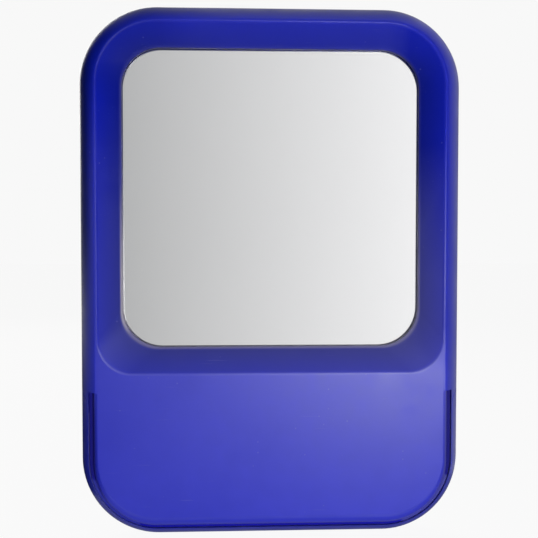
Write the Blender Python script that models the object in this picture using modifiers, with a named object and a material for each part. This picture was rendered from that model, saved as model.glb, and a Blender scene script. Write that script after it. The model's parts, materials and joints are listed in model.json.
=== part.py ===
"""Table mirror: a square glass deep in a moulded frame with a flat lower panel.

A U-shaped stand lies flush round the foot of the frame and swings out backwards on two pins.
The mirror faces -Y and stands upright on +Z, with the origin under the middle of its box.
"""

import math

import bmesh
import bpy
from mathutils import Matrix, Vector

MM = 0.001

# Glass opening and the frame round it
OPENING = 152 * MM
OPENING_RADIUS = 20 * MM
SIDE_MARGIN = 21.5 * MM
TOP_MARGIN = 21 * MM
LOWER_HEIGHT = 97 * MM
CORNER_RADIUS = 40 * MM

# Frame section, from the outer edge in to the glass
BAND_WIDTH = 9.2 * MM
BAND_DEPTH = 10.5 * MM
BAND_TURN = math.radians(22)
CREST_WIDTH = 1.0 * MM
DISH_DEPTH = 9.0 * MM
DISH_LOW_RADIUS = 17 * MM
BOTTOM_SLOPE = 13 * MM
LIP = 1.6 * MM
WALL = 2.4 * MM
SEAT_WALL = 1.6 * MM

# Stack behind the lip
PANE_THICKNESS = 3.0 * MM
PANE_OVERLAP = 3.0 * MM
BOARD_THICKNESS = 1.5 * MM
BOARD_MARGIN = 1.0 * MM
FOAM_THICKNESS = 1.4 * MM
FOAM_WIDTH = 8.0 * MM
COVER_THICKNESS = 2.0 * MM
COVER_RECESS = 0.3 * MM

# Lower box and the stand round it
BOX_INSET = 7.3 * MM
BOX_DRAFT = 0.8 * MM
PANEL_FOOT_RADIUS = 2.5 * MM
SLOT_WIDTH = 2.2 * MM
SLOT_TOP = 75 * MM
LEDGE_DEPTH = 4.5 * MM
PARTING_GAP = 0.25 * MM
PARTING_BACK = 1.5 * MM
STAND_OPEN = math.radians(50)
STOP_MARGIN = math.radians(1.5)

# Pivot
PIN_RADIUS = 2.0 * MM
PIN_BLIND_WALL = 1.6 * MM
COLLAR_RADIUS = 3.6 * MM
COLLAR_THICKNESS = 0.6 * MM
WASHER_RADIUS = 5.0 * MM
WASHER_THICKNESS = 0.5 * MM
SEAT_RADIUS = 5.6 * MM
PIVOT_BOSS_RADIUS = 4.4 * MM
PIVOT_BOSS_LENGTH = 6.0 * MM
CLIP_RADIUS = 3.8 * MM
CLIP_THICKNESS = 0.8 * MM
CLIP_MOUTH = math.radians(70)
GROOVE_DEPTH = 0.6 * MM
PIN_TAIL = 1.0 * MM

# Cover screws and pads
SCREW_RADIUS = 1.45 * MM
SCREW_LENGTH = 11 * MM
HEAD_RADIUS = 3.0 * MM
HEAD_HEIGHT = 1.5 * MM
RECESS_LENGTH = 3.2 * MM
RECESS_WIDTH = 0.8 * MM
RECESS_DEPTH = 0.7 * MM
BOSS_RADIUS = 3.2 * MM
CREST_BOSS_ROOT = 3.2 * MM
SIDE_SCREW_SPACING = 88 * MM
TOP_SCREW_MARGIN = 55.5 * MM
FOOT_SCREW_MARGIN = 27.5 * MM
FOOT_SCREW_RISE = 14 * MM
PAD_RADIUS = 6.0 * MM
PAD_HEIGHT = 1.6 * MM
PAD_DOME = 0.5 * MM
PAD_MARGIN = 24 * MM
PAD_LOW_RISE = 30 * MM

# Clearances
FIT_GAP = 0.3 * MM
PIN_GAP = 0.2 * MM
COVER_GAP = 0.5 * MM
STAND_GAP = 0.35 * MM
POCKET_GAP = 0.4 * MM
SCREW_TIP_GAP = 0.9 * MM

# How finely round shapes are cut, and how far cutters pass a face and each other
CORNER_STEPS = 10
BAND_STEPS = 6
FILLET_STEPS = 5
ARC_STEPS = 14
TURN_STEPS = 20
SEARCH_STEPS = 40
SHARP_ANGLE = math.radians(30)
MERGE = 0.01 * MM
PAST = 4 * MM
MORE_PAST = 6 * MM
FAR_PAST = 8 * MM

# Sizes that follow from the ones above
WIDTH = OPENING + 2 * SIDE_MARGIN
HEIGHT = LOWER_HEIGHT + OPENING + TOP_MARGIN
HALF = WIDTH / 2
CREST_INSET = BAND_WIDTH + CREST_WIDTH
POCKET_FRONT = DISH_DEPTH + LIP
PANE_FRONT = POCKET_FRONT + FIT_GAP
BOARD_FRONT = PANE_FRONT + PANE_THICKNESS + FIT_GAP
FOAM_FRONT = BOARD_FRONT + BOARD_THICKNESS + FIT_GAP
COVER_FRONT = FOAM_FRONT + FOAM_THICKNESS + FIT_GAP
COVER_BACK = COVER_FRONT + COVER_THICKNESS
FRAME_DEPTH = COVER_BACK + COVER_RECESS
PAD_FRONT = COVER_BACK + FIT_GAP
FRONT_Y = -(PAD_FRONT + PAD_HEIGHT) / 2

# Stand section and its pivot, as depth behind the crest and height
STAND_INSET = BOX_INSET - SLOT_WIDTH
LEDGE_INSET = STAND_INSET + PARTING_GAP


def band_point(turn, grow=0.0):
    """(inset, depth) on the outer band, turn from -1 at the crest to 1 at the side, grown inwards by grow."""
    chord = math.hypot(BAND_WIDTH, BAND_DEPTH)
    radius = chord / (2 * math.sin(BAND_TURN))
    lean = math.atan2(BAND_DEPTH, BAND_WIDTH)
    sag = radius * math.cos(BAND_TURN)
    centre = (BAND_WIDTH / 2 + sag * math.sin(lean), BAND_DEPTH / 2 + sag * math.cos(lean))
    angle = lean + turn * BAND_TURN
    reach = radius - grow
    return centre[0] - reach * math.sin(angle), centre[1] - reach * math.cos(angle)


def band_turn_at(inset):
    """The turn at which the outer band lies at this inset."""
    low, high = -1.0, 1.0
    for _ in range(SEARCH_STEPS):
        middle = (low + high) / 2
        if band_point(middle)[0] > inset:
            low = middle
        else:
            high = middle
    return low


STAND_FRONT = band_point(band_turn_at(STAND_INSET))[1]
ARM_RADIUS = (FRAME_DEPTH - STAND_FRONT) / 2
PIVOT_DEPTH = STAND_FRONT + ARM_RADIUS
PIVOT_Z = SLOT_TOP - STAND_GAP - ARM_RADIUS
PIVOT = Vector((0, FRONT_Y + PIVOT_DEPTH, PIVOT_Z))


# Outlines and solids

def rounded_outline(half, low, high, low_radius, high_radius):
    """Points (x, z) of an upright rounded rectangle, in one turn from its lower right corner."""
    corners = (
        (half - low_radius, low + low_radius, low_radius, -90),
        (half - high_radius, high - high_radius, high_radius, 0),
        (high_radius - half, high - high_radius, high_radius, 90),
        (low_radius - half, low + low_radius, low_radius, 180),
    )
    points = []
    for x, z, radius, start in corners:
        for step in range(CORNER_STEPS + 1):
            angle = math.radians(start + 90 * step / CORNER_STEPS)
            points.append((x + radius * math.cos(angle), z + radius * math.sin(angle)))
    return points


def frame_outline(inset):
    """The object's outline, moved in by inset."""
    radius = CORNER_RADIUS - inset
    return rounded_outline(HALF - inset, inset, HEIGHT - inset, radius, radius)


def opening_outline(grow):
    """The glass opening, grown outwards."""
    radius = OPENING_RADIUS + grow
    low = LOWER_HEIGHT - grow
    return rounded_outline(OPENING / 2 + grow, low, low + OPENING + 2 * grow, radius, radius)


def dish_outline(grow=0.0):
    """The dish's edge in the crest plane, grown outwards."""
    return rounded_outline(
        HALF - CREST_INSET + grow,
        LOWER_HEIGHT - BOTTOM_SLOPE - grow,
        HEIGHT - CREST_INSET + grow,
        DISH_LOW_RADIUS + grow,
        CORNER_RADIUS - CREST_INSET + grow,
    )


def box_outline(inset, foot=0.0):
    """The lower box inside the stand, its foot raised by foot."""
    radius = CORNER_RADIUS - inset
    return rounded_outline(HALF - inset, inset + foot, HEIGHT - inset, radius, radius)


def between(first, second, share):
    """The outline at share of the way from first to second."""
    return [(a[0] + (b[0] - a[0]) * share, a[1] + (b[1] - a[1]) * share) for a, b in zip(first, second)]


def at_depth(outline, depth):
    """An (x, z) outline as points at a depth behind the crest."""
    return [Vector((x, FRONT_Y + depth, z)) for x, z in outline]


def at_side(outline, x):
    """A (depth, z) outline as points at x."""
    return [Vector((x, FRONT_Y + depth, z)) for depth, z in outline]


def new_object(name, bm, collection, origin=Vector((0, 0, 0))):
    """An object from a bmesh in world coordinates, with its origin at the given point."""
    bmesh.ops.translate(bm, verts=bm.verts, vec=-origin)
    bmesh.ops.recalc_face_normals(bm, faces=bm.faces)
    mesh = bpy.data.meshes.new(name)
    bm.to_mesh(mesh)
    bm.free()
    mesh.shade_smooth()
    mesh.set_sharp_from_angle(angle=SHARP_ANGLE)
    thing = bpy.data.objects.new(name, mesh)
    thing.location = origin
    collection.objects.link(thing)
    return thing


def loft(name, sections, collection, ring=False, origin=Vector((0, 0, 0))):
    """A solid skinned over sections of equal point count, capped, or closed into a ring."""
    bm = bmesh.new()
    loops = [[bm.verts.new(point) for point in section] for section in sections]
    pairs = list(zip(loops, loops[1:]))
    if ring:
        pairs.append((loops[-1], loops[0]))
    else:
        bm.faces.new(loops[0])
        bm.faces.new(loops[-1])
    for first, second in pairs:
        for index in range(len(first)):
            after = (index + 1) % len(first)
            bm.faces.new((first[index], first[after], second[after], second[index]))
    return new_object(name, bm, collection, origin)


def plate(name, outline, front, back, collection):
    """A flat piece of the given outline between two depths."""
    return loft(name, [at_depth(outline, front), at_depth(outline, back)], collection)


def box(name, low, high, collection):
    """A block between two corners."""
    bm = bmesh.new()
    size = Vector(high) - Vector(low)
    matrix = Matrix.Translation((Vector(low) + Vector(high)) / 2) @ Matrix.Diagonal((*size, 1))
    bmesh.ops.create_cube(bm, size=1, matrix=matrix)
    return new_object(name, bm, collection)


def turned(name, profile, place, collection):
    """A solid of revolution of (radius, height) points, from the top down, put in place by a matrix."""
    mesh = bpy.data.meshes.new(name)
    closed = profile[0][0] > 0
    edges = [(i, i + 1) for i in range(len(profile) - 1)]
    if closed:
        edges.append((len(profile) - 1, 0))
    mesh.from_pydata([(radius, 0, height) for radius, height in profile], edges, [])
    thing = bpy.data.objects.new(name, mesh)
    screw = thing.modifiers.new("turn", "SCREW")
    screw.steps = screw.render_steps = TURN_STEPS
    screw.use_merge_vertices = True
    screw.merge_threshold = MERGE
    screw.use_smooth_shade = True
    thing.matrix_world = place
    collection.objects.link(thing)
    return thing


def rods(name, ends, radius, collection):
    """One object of like round rods, each between its own two ends."""
    bm = bmesh.new()
    for start, end in ends:
        turn = Vector((0, 0, 1)).rotation_difference(end - start).to_matrix().to_4x4()
        bmesh.ops.create_cone(
            bm,
            cap_ends=True,
            segments=TURN_STEPS,
            radius1=radius,
            radius2=radius,
            depth=(end - start).length,
            matrix=Matrix.Translation((start + end) / 2) @ turn,
        )
    return new_object(name, bm, collection)


def combine(target, tool, operation):
    """A Boolean modifier on target."""
    modifier = target.modifiers.new(tool.name, "BOOLEAN")
    modifier.operation = operation
    modifier.object = tool
    modifier.solver = "EXACT"


def material(name, colour, roughness, metallic=0.0):
    """A plain Principled material."""
    finish = bpy.data.materials.new(name)
    finish.use_nodes = True
    shader = finish.node_tree.nodes["Principled BSDF"]
    shader.inputs["Base Color"].default_value = (*colour, 1)
    shader.inputs["Roughness"].default_value = roughness
    shader.inputs["Metallic"].default_value = metallic
    return finish


def clear_scene():
    for thing in list(bpy.data.objects):
        bpy.data.objects.remove(thing)


def new_collection(name):
    collection = bpy.data.collections.new(name)
    bpy.context.scene.collection.children.link(collection)
    return collection


# Screw places

SIDES = (("left", -1), ("right", 1))


def screw_places():
    """(name, x, z, root) of each cover screw: on the crest line round the glass, and in the foot of the box.

    The root is the depth, inside the shell's front wall, at which the screw's boss starts.
    """
    inset = BAND_WIDTH + CREST_WIDTH / 2
    middle = LOWER_HEIGHT + OPENING / 2
    foot = BOX_INSET + WALL + FOOT_SCREW_RISE
    places = []
    for side, sign in SIDES:
        x = sign * (HALF - inset)
        top_x = sign * (HALF - TOP_SCREW_MARGIN)
        foot_x = sign * (HALF - FOOT_SCREW_MARGIN)
        places.append((f"cover_screw_{side}_upper", x, middle + SIDE_SCREW_SPACING / 2, CREST_BOSS_ROOT))
        places.append((f"cover_screw_{side}_lower", x, middle - SIDE_SCREW_SPACING / 2, CREST_BOSS_ROOT))
        places.append((f"cover_screw_top_{side}", top_x, HEIGHT - inset, CREST_BOSS_ROOT))
        places.append((f"cover_screw_foot_{side}", foot_x, foot, WALL / 2))
    return places


def on_screw(place, depth):
    """A point on a screw's axis."""
    return Vector((place[1], FRONT_Y + depth, place[2]))


# Front shell

def outer_form(parts):
    """The frame's full outer form, before anything is cut from it."""
    sections = []
    for step in range(BAND_STEPS + 1):
        inset, depth = band_point(2 * step / BAND_STEPS - 1)
        sections.append(at_depth(frame_outline(inset), depth))
    sections.append(at_depth(frame_outline(0), FRAME_DEPTH))
    return loft("front_shell", sections, parts)


def dish_cutter(cutters):
    """The space in front of the glass, with the straight edge of the lip."""
    edge, foot = dish_outline(), opening_outline(0)
    out = between(edge, foot, -PAST / DISH_DEPTH)
    sections = ((out, -PAST), (edge, 0), (foot, DISH_DEPTH), (foot, POCKET_FRONT + LIP))
    return loft("cut_dish", [at_depth(line, depth) for line, depth in sections], cutters)


def dish_block(cutters):
    """What the hollow leaves standing round the dish: its slope and the rim that seats the pane."""
    rim = opening_outline(PANE_OVERLAP + POCKET_GAP + SEAT_WALL)
    slope = math.atan2(DISH_DEPTH, SIDE_MARGIN - CREST_INSET)
    edge = dish_outline(WALL / math.sin(slope))
    sections = ((between(edge, rim, -PAST / DISH_DEPTH), -PAST), (rim, DISH_DEPTH), (rim, FOAM_FRONT))
    return loft("keep_dish", [at_depth(line, depth) for line, depth in sections], cutters)


def upper_hollow(cutters):
    """The hollow under the band, one wall inside the outer form, above the stand."""
    sections = []
    for step in range(BAND_STEPS + 1):
        inset, depth = band_point(2 * step / BAND_STEPS - 1, WALL)
        sections.append(at_depth(frame_outline(inset), depth))
    sections.append(at_depth(frame_outline(WALL), FRAME_DEPTH + PAST))
    hollow = loft("cut_upper_hollow", sections, cutters)
    low = (-HALF - PAST, FRONT_Y - PAST, -PAST)
    high = (HALF + PAST, FRONT_Y + FRAME_DEPTH + FAR_PAST, SLOT_TOP + WALL)
    combine(hollow, box("keep_lower_end", low, high, cutters), "DIFFERENCE")
    return hollow


def lower_hollow(cutters):
    """The hollow behind the panel, one wall inside the lower box, running up into the hollow above."""
    sections = []
    for inset, foot, depth in (
        (BOX_INSET + WALL, PANEL_FOOT_RADIUS, WALL),
        (BOX_INSET + WALL, 0, WALL + PANEL_FOOT_RADIUS),
        (BOX_INSET + WALL - BOX_DRAFT, 0, FRAME_DEPTH + FAR_PAST),
    ):
        top = SLOT_TOP + WALL + PAST
        outline = rounded_outline(HALF - inset, inset + foot, top, CORNER_RADIUS - inset, WALL)
        sections.append(at_depth(outline, depth))
    return loft("cut_lower_hollow", sections, cutters)


def lower_box(cutters):
    """The outside of the lower box: the panel's sides, its rounded foot, and the ledge that floors the slot."""
    lifted = box_outline(BOX_INSET, PANEL_FOOT_RADIUS)
    sections = [(lifted, -FAR_PAST)]
    for step in range(FILLET_STEPS + 1):
        angle = math.radians(90 * step / FILLET_STEPS)
        foot = PANEL_FOOT_RADIUS * (1 - math.sin(angle))
        sections.append((box_outline(BOX_INSET, foot), PANEL_FOOT_RADIUS * (1 - math.cos(angle))))
    sections.append((box_outline(BOX_INSET), LEDGE_DEPTH))
    sections.append((box_outline(LEDGE_INSET), LEDGE_DEPTH))
    sections.append((box_outline(LEDGE_INSET + BOX_DRAFT), FRAME_DEPTH + FAR_PAST))
    return loft("keep_lower_box", [at_depth(line, depth) for line, depth in sections], cutters)


def stand_room(cutters):
    """The rebate for the stand: round its arm ends, sloped behind them as its stop, and the slot beside the panel."""
    reach = ARM_RADIUS + STAND_GAP
    back = FRAME_DEPTH + PAST
    stop = STAND_OPEN + STOP_MARGIN
    side = [(-PAST, -PAST), (-PAST, PIVOT_Z)]
    for step in range(ARC_STEPS + 1):
        angle = math.pi + (stop - math.pi) * step / ARC_STEPS
        side.append((PIVOT_DEPTH + reach * math.cos(angle), PIVOT_Z + reach * math.sin(angle)))
    depth, height = side[-1]
    side.append((back, height - (back - depth) / math.tan(stop)))
    side.append((back, -PAST))
    ends = HALF + PAST
    room = loft("cut_stand_room", [at_side(side, -ends), at_side(side, ends)], cutters)
    slot = HALF - STAND_INSET
    low = (-slot, FRONT_Y - MORE_PAST, -MORE_PAST)
    high = (slot, FRONT_Y + FRAME_DEPTH + MORE_PAST, SLOT_TOP)
    combine(room, box("cut_slot", low, high, cutters), "UNION")
    combine(room, lower_box(cutters), "DIFFERENCE")
    return room


def ledge_inset(depth):
    """Inset of the ledge's outer face at a depth behind the slot's floor."""
    run = FRAME_DEPTH + FAR_PAST - LEDGE_DEPTH
    return LEDGE_INSET + BOX_DRAFT * (depth - LEDGE_DEPTH) / run


PIVOT_WALL_X = HALF - ledge_inset(PIVOT_DEPTH)
PIVOT_BOSS_X = PIVOT_WALL_X - WALL - PIVOT_BOSS_LENGTH


def on_pivot(x):
    """A point on the pivot axis."""
    return PIVOT + Vector((x, 0, 0))


def pivot_rods(name, start, end, radius, cutters):
    """A pair of rods on the pivot axis, from x = start to x = end on each side."""
    return rods(name, [(on_pivot(sign * start), on_pivot(sign * end)) for _, sign in SIDES], radius, cutters)


def build_front_shell(parts, cutters):
    shell = outer_form(parts)
    hollow = lower_hollow(cutters)
    combine(hollow, upper_hollow(cutters), "UNION")
    combine(hollow, dish_block(cutters), "DIFFERENCE")
    combine(shell, hollow, "DIFFERENCE")

    places = screw_places()
    boss_ends = [(on_screw(place, place[3]), on_screw(place, COVER_FRONT - FIT_GAP)) for place in places]
    combine(shell, rods("add_screw_bosses", boss_ends, BOSS_RADIUS, cutters), "UNION")
    pivot_bosses = pivot_rods(
        "add_pivot_bosses", PIVOT_BOSS_X, PIVOT_WALL_X - WALL / 2, PIVOT_BOSS_RADIUS, cutters
    )
    combine(shell, pivot_bosses, "UNION")

    combine(shell, dish_cutter(cutters), "DIFFERENCE")
    pocket = opening_outline(PANE_OVERLAP + POCKET_GAP)
    combine(shell, plate("cut_pane_pocket", pocket, POCKET_FRONT, FRAME_DEPTH + PAST, cutters), "DIFFERENCE")
    combine(shell, stand_room(cutters), "DIFFERENCE")

    hole_ends = [(on_screw(place, COVER_FRONT - SCREW_LENGTH), on_screw(place, COVER_FRONT)) for place in places]
    combine(shell, rods("cut_screw_holes", hole_ends, SCREW_RADIUS + PIN_GAP, cutters), "DIFFERENCE")
    pin_holes = pivot_rods(
        "cut_pin_holes", PIVOT_BOSS_X - PAST, PIVOT_WALL_X + PAST, PIN_RADIUS + PIN_GAP, cutters
    )
    combine(shell, pin_holes, "DIFFERENCE")
    return shell


# Glass, board and foam

def build_pane_stack(parts):
    """The pane, the board behind it, and the four foam strips behind the board."""
    pane = plate("mirror_pane", opening_outline(PANE_OVERLAP), PANE_FRONT, PANE_FRONT + PANE_THICKNESS, parts)
    board_line = opening_outline(PANE_OVERLAP - BOARD_MARGIN)
    board = plate("backing_board", board_line, BOARD_FRONT, BOARD_FRONT + BOARD_THICKNESS, parts)

    half = OPENING / 2
    front, back = FRONT_Y + FOAM_FRONT, FRONT_Y + FOAM_FRONT + FOAM_THICKNESS
    low, high = LOWER_HEIGHT, LOWER_HEIGHT + OPENING
    inner = half - FOAM_WIDTH
    corner = OPENING_RADIUS
    strips = [
        box("foam_strip_top", (-half + corner, front, high - FOAM_WIDTH), (half - corner, back, high), parts),
        box("foam_strip_bottom", (-half + corner, front, low), (half - corner, back, low + FOAM_WIDTH), parts),
        box("foam_strip_left", (-half, front, low + corner), (-inner, back, high - corner), parts),
        box("foam_strip_right", (inner, front, low + corner), (half, back, high - corner), parts),
    ]
    return pane, board, strips


# Back cover, its screws and pads

def cover_outline():
    """The cover's stepped outline: wide behind the glass, narrow where the stand lies."""
    wide = frame_outline(WALL + COVER_GAP)
    narrow = box_outline(BOX_INSET + WALL + COVER_GAP)
    step_z = SLOT_TOP + WALL + COVER_GAP
    quarter = CORNER_STEPS + 1
    wide_x = HALF - WALL - COVER_GAP
    narrow_x = HALF - BOX_INSET - WALL - COVER_GAP
    right = narrow[:quarter] + [(narrow_x, step_z), (wide_x, step_z)] + wide[quarter:2 * quarter]
    left = wide[2 * quarter:3 * quarter] + [(-wide_x, step_z), (-narrow_x, step_z)] + narrow[3 * quarter:]
    return right + left


def countersink_profile(gap):
    """(radius, height) of a countersunk head, its flat top at height 0, from the axis out and down the cone."""
    return [(0, 0), (HEAD_RADIUS + gap, 0), (SCREW_RADIUS + gap, -HEAD_HEIGHT)]


def facing_back(point):
    """A place at a point, with its own +Z turned to face backwards."""
    return Matrix.Translation(point) @ Matrix.Rotation(math.radians(-90), 4, "X")


def build_back_cover(parts, cutters):
    cover = plate("back_cover", cover_outline(), COVER_FRONT, COVER_BACK, parts)
    shank = SCREW_RADIUS + PIN_GAP
    profile = [(0, PAST), (HEAD_RADIUS + PIN_GAP, PAST), *countersink_profile(PIN_GAP)[1:]]
    profile += [(shank, -COVER_THICKNESS - PAST), (0, -COVER_THICKNESS - PAST)]
    for place in screw_places():
        top = on_screw(place, COVER_BACK)
        combine(cover, turned(f"cut_for_{place[0]}", profile, facing_back(top), cutters), "DIFFERENCE")
    return cover


def build_screws(parts, cutters):
    """Countersunk screws with a cross recess."""
    screws = []
    length = SCREW_LENGTH + COVER_THICKNESS - SCREW_TIP_GAP
    for place in screw_places():
        name = place[0]
        top = on_screw(place, COVER_BACK)
        profile = countersink_profile(0)
        profile += [(SCREW_RADIUS, SCREW_RADIUS - length), (0, -length)]
        screw = turned(name, profile, facing_back(top), parts)
        for bar, (across, upright) in enumerate(((RECESS_LENGTH, RECESS_WIDTH), (RECESS_WIDTH, RECESS_LENGTH))):
            low = top + Vector((-across / 2, -RECESS_DEPTH, -upright / 2))
            high = top + Vector((across / 2, PAST, upright / 2))
            combine(screw, box(f"cut_recess_{name}_{bar}", low, high, cutters), "DIFFERENCE")
        screws.append(screw)
    return screws


def build_pads(parts):
    """Four domed pads near the cover's corners."""
    pads = []
    low = BOX_INSET + WALL + PAD_LOW_RISE
    profile = [(0, PAD_HEIGHT), (PAD_RADIUS - 2 * PAD_DOME, PAD_HEIGHT), (PAD_RADIUS, PAD_HEIGHT - PAD_DOME)]
    profile += [(PAD_RADIUS, 0), (0, 0)]
    for side, sign in SIDES:
        for level, z in (("upper", HEIGHT - PAD_MARGIN), ("lower", low)):
            point = Vector((sign * (HALF - PAD_MARGIN), FRONT_Y + PAD_FRONT, z))
            pads.append(turned(f"back_pad_{level}_{side}", profile, facing_back(point), parts))
    return pads


# Stand and its pivots
STAND_BACK_WIDTH = ledge_inset(FRAME_DEPTH) - PARTING_BACK


def stand_section():
    """(inset, depth) round the stand's section: along the band, down the side, then up its inner face."""
    start = band_turn_at(STAND_INSET)
    points = [band_point(start + (1 - start) * step / BAND_STEPS) for step in range(BAND_STEPS + 1)]
    points += [(0, FRAME_DEPTH), (STAND_BACK_WIDTH, FRAME_DEPTH)]
    return points


# Pivot pieces, outwards from the ledge, each one gap from the next, and the seat in the stand's arm
COLLAR_X = PIVOT_WALL_X + FIT_GAP
WASHER_X = COLLAR_X + COLLAR_THICKNESS + FIT_GAP
SEAT_X = WASHER_X + WASHER_THICKNESS + FIT_GAP
BLIND_X = HALF - band_point(1)[0] - PIN_BLIND_WALL


def build_stand(parts, cutters, hinge):
    """The U-shaped stand, with round arm ends, and inside each a seat for the washer and a hole for the pin."""
    rings = [at_depth(frame_outline(inset), depth) for inset, depth in stand_section()]
    stand = loft("stand", rings, parts, ring=True, origin=PIVOT)

    side = [(-PAST, -PAST), (-PAST, PIVOT_Z), (PIVOT_DEPTH - ARM_RADIUS, PIVOT_Z)]
    for step in range(1, ARC_STEPS):
        angle = math.pi * (1 - step / ARC_STEPS)
        side.append((PIVOT_DEPTH + ARM_RADIUS * math.cos(angle), PIVOT_Z + ARM_RADIUS * math.sin(angle)))
    side += [(PIVOT_DEPTH + ARM_RADIUS, PIVOT_Z), (FRAME_DEPTH + PAST, PIVOT_Z), (FRAME_DEPTH + PAST, -PAST)]
    ends = HALF + PAST
    combine(stand, loft("keep_arms", [at_side(side, -ends), at_side(side, ends)], cutters), "INTERSECT")

    seats = pivot_rods("cut_washer_seats", PIVOT_WALL_X - PAST, SEAT_X, SEAT_RADIUS, cutters)
    combine(stand, seats, "DIFFERENCE")
    holes = pivot_rods("cut_blind_holes", SEAT_X - PAST, BLIND_X, PIN_RADIUS + PIN_GAP, cutters)
    combine(stand, holes, "DIFFERENCE")
    stand.parent = hinge
    stand.location = (0, 0, 0)
    return stand


def facing_out(sign, x):
    """A place on the pivot axis at x on one side, with its own +Z turned outwards."""
    return Matrix.Translation(on_pivot(sign * x)) @ Matrix.Rotation(sign * math.radians(90), 4, "Y")


def build_pivots(parts):
    """On each side a collared pin, a friction washer and a clip in the pin's groove."""
    pins, washers, clips = [], [], []
    groove_radius = PIN_RADIUS - GROOVE_DEPTH
    clip_back = COLLAR_X - PIVOT_BOSS_X + FIT_GAP
    groove_back = clip_back + CLIP_THICKNESS + FIT_GAP
    for side, sign in SIDES:
        tip = BLIND_X - COLLAR_X - FIT_GAP
        profile = [
            (0, tip),
            (PIN_RADIUS, tip),
            (PIN_RADIUS, COLLAR_THICKNESS),
            (COLLAR_RADIUS, COLLAR_THICKNESS),
            (COLLAR_RADIUS, 0),
            (PIN_RADIUS, 0),
            (PIN_RADIUS, FIT_GAP - clip_back),
            (groove_radius, FIT_GAP - clip_back),
            (groove_radius, -groove_back),
            (PIN_RADIUS, -groove_back),
            (PIN_RADIUS, -groove_back - PIN_TAIL),
            (0, -groove_back - PIN_TAIL),
        ]
        pins.append(turned(f"pivot_pin_{side}", profile, facing_out(sign, COLLAR_X), parts))

        hole = PIN_RADIUS + PIN_GAP
        ring = [(WASHER_RADIUS, WASHER_THICKNESS), (WASHER_RADIUS, 0), (hole, 0), (hole, WASHER_THICKNESS)]
        washers.append(turned(f"friction_washer_{side}", ring, facing_out(sign, WASHER_X), parts))

        outline = []
        for radius, order in ((CLIP_RADIUS, 1), (groove_radius + PIN_GAP, -1)):
            for step in range(TURN_STEPS + 1)[::order]:
                angle = CLIP_MOUTH / 2 + (2 * math.pi - CLIP_MOUTH) * step / TURN_STEPS
                outline.append((PIVOT_DEPTH + radius * math.cos(angle), PIVOT_Z + radius * math.sin(angle)))
        outer = sign * (COLLAR_X - clip_back)
        inner = sign * (COLLAR_X - clip_back - CLIP_THICKNESS)
        clips.append(loft(f"pin_clip_{side}", [at_side(outline, outer), at_side(outline, inner)], parts))
    return pins, washers, clips


def main():
    clear_scene()
    parts = new_collection("table_mirror")
    cutters = new_collection("cutters")

    hinge = bpy.data.objects.new("stand_hinge", None)
    hinge.location = PIVOT
    parts.objects.link(hinge)

    shell = build_front_shell(parts, cutters)
    pane, board, strips = build_pane_stack(parts)
    cover = build_back_cover(parts, cutters)
    screws = build_screws(parts, cutters)
    pads = build_pads(parts)
    stand = build_stand(parts, cutters, hinge)
    pins, washers, clips = build_pivots(parts)

    finishes = (
        ("blue_plastic", (0.025, 0.035, 0.38), 0.35, 0.0, [shell, stand]),
        ("silvered_glass", (0.85, 0.87, 0.87), 0.02, 1.0, [pane]),
        ("grey_board", (0.42, 0.38, 0.32), 0.9, 0.0, [board]),
        ("charcoal_foam", (0.06, 0.06, 0.065), 0.95, 0.0, strips),
        ("dark_blue_plastic", (0.02, 0.028, 0.28), 0.5, 0.0, [cover]),
        ("plated_steel", (0.62, 0.62, 0.6), 0.3, 1.0, [*screws, *pins, *clips]),
        ("black_rubber", (0.03, 0.03, 0.03), 0.8, 0.0, pads),
        ("black_nylon", (0.03, 0.03, 0.033), 0.5, 0.0, washers),
    )
    for name, colour, roughness, metallic, pieces in finishes:
        finish = material(name, colour, roughness, metallic)
        for piece in pieces:
            piece.data.materials.append(finish)

    for cutter in cutters.objects:
        cutter.hide_render = True
        cutter.display_type = "WIRE"


main()
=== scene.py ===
"""Looks of a framed table mirror with a fold-out stand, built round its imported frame.

The mirror faces -Y and stands on the floor. Depth below means the distance behind the crest of the frame.
"""

import json
import math
from types import SimpleNamespace

import bmesh
import bpy
from bpy.props import FloatProperty, FloatVectorProperty, PointerProperty
from mathutils import Matrix, Vector


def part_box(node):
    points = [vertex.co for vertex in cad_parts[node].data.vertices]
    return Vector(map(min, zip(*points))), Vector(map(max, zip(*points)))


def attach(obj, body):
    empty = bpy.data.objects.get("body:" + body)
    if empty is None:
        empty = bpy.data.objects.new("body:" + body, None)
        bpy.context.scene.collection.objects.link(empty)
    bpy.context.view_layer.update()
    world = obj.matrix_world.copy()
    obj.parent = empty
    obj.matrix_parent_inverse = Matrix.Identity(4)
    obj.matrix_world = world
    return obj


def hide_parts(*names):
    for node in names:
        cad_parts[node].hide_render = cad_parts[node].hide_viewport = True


bl_info = {
    "name": "Table mirror",
    "version": (1, 0, 0),
    "blender": (4, 5, 0),
    "location": "View3D > Sidebar > Mirror",
    "description": "Builds a moulded table mirror with a fold-out stand, and a studio round it",
    "category": "Add Mesh",
}

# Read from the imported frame
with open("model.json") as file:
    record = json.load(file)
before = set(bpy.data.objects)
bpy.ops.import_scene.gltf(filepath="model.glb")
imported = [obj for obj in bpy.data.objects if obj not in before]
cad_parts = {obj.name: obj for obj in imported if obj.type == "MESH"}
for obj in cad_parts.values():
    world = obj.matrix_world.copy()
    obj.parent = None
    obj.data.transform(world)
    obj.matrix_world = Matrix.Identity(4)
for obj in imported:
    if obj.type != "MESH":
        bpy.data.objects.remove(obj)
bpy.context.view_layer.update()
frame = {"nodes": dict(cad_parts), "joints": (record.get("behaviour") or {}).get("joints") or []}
SHELL_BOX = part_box("front_shell")
STAND_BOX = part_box("stand")
PANE_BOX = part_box("mirror_pane")
COVER_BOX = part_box("back_cover")
HINGE = frame["joints"][0]

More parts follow.
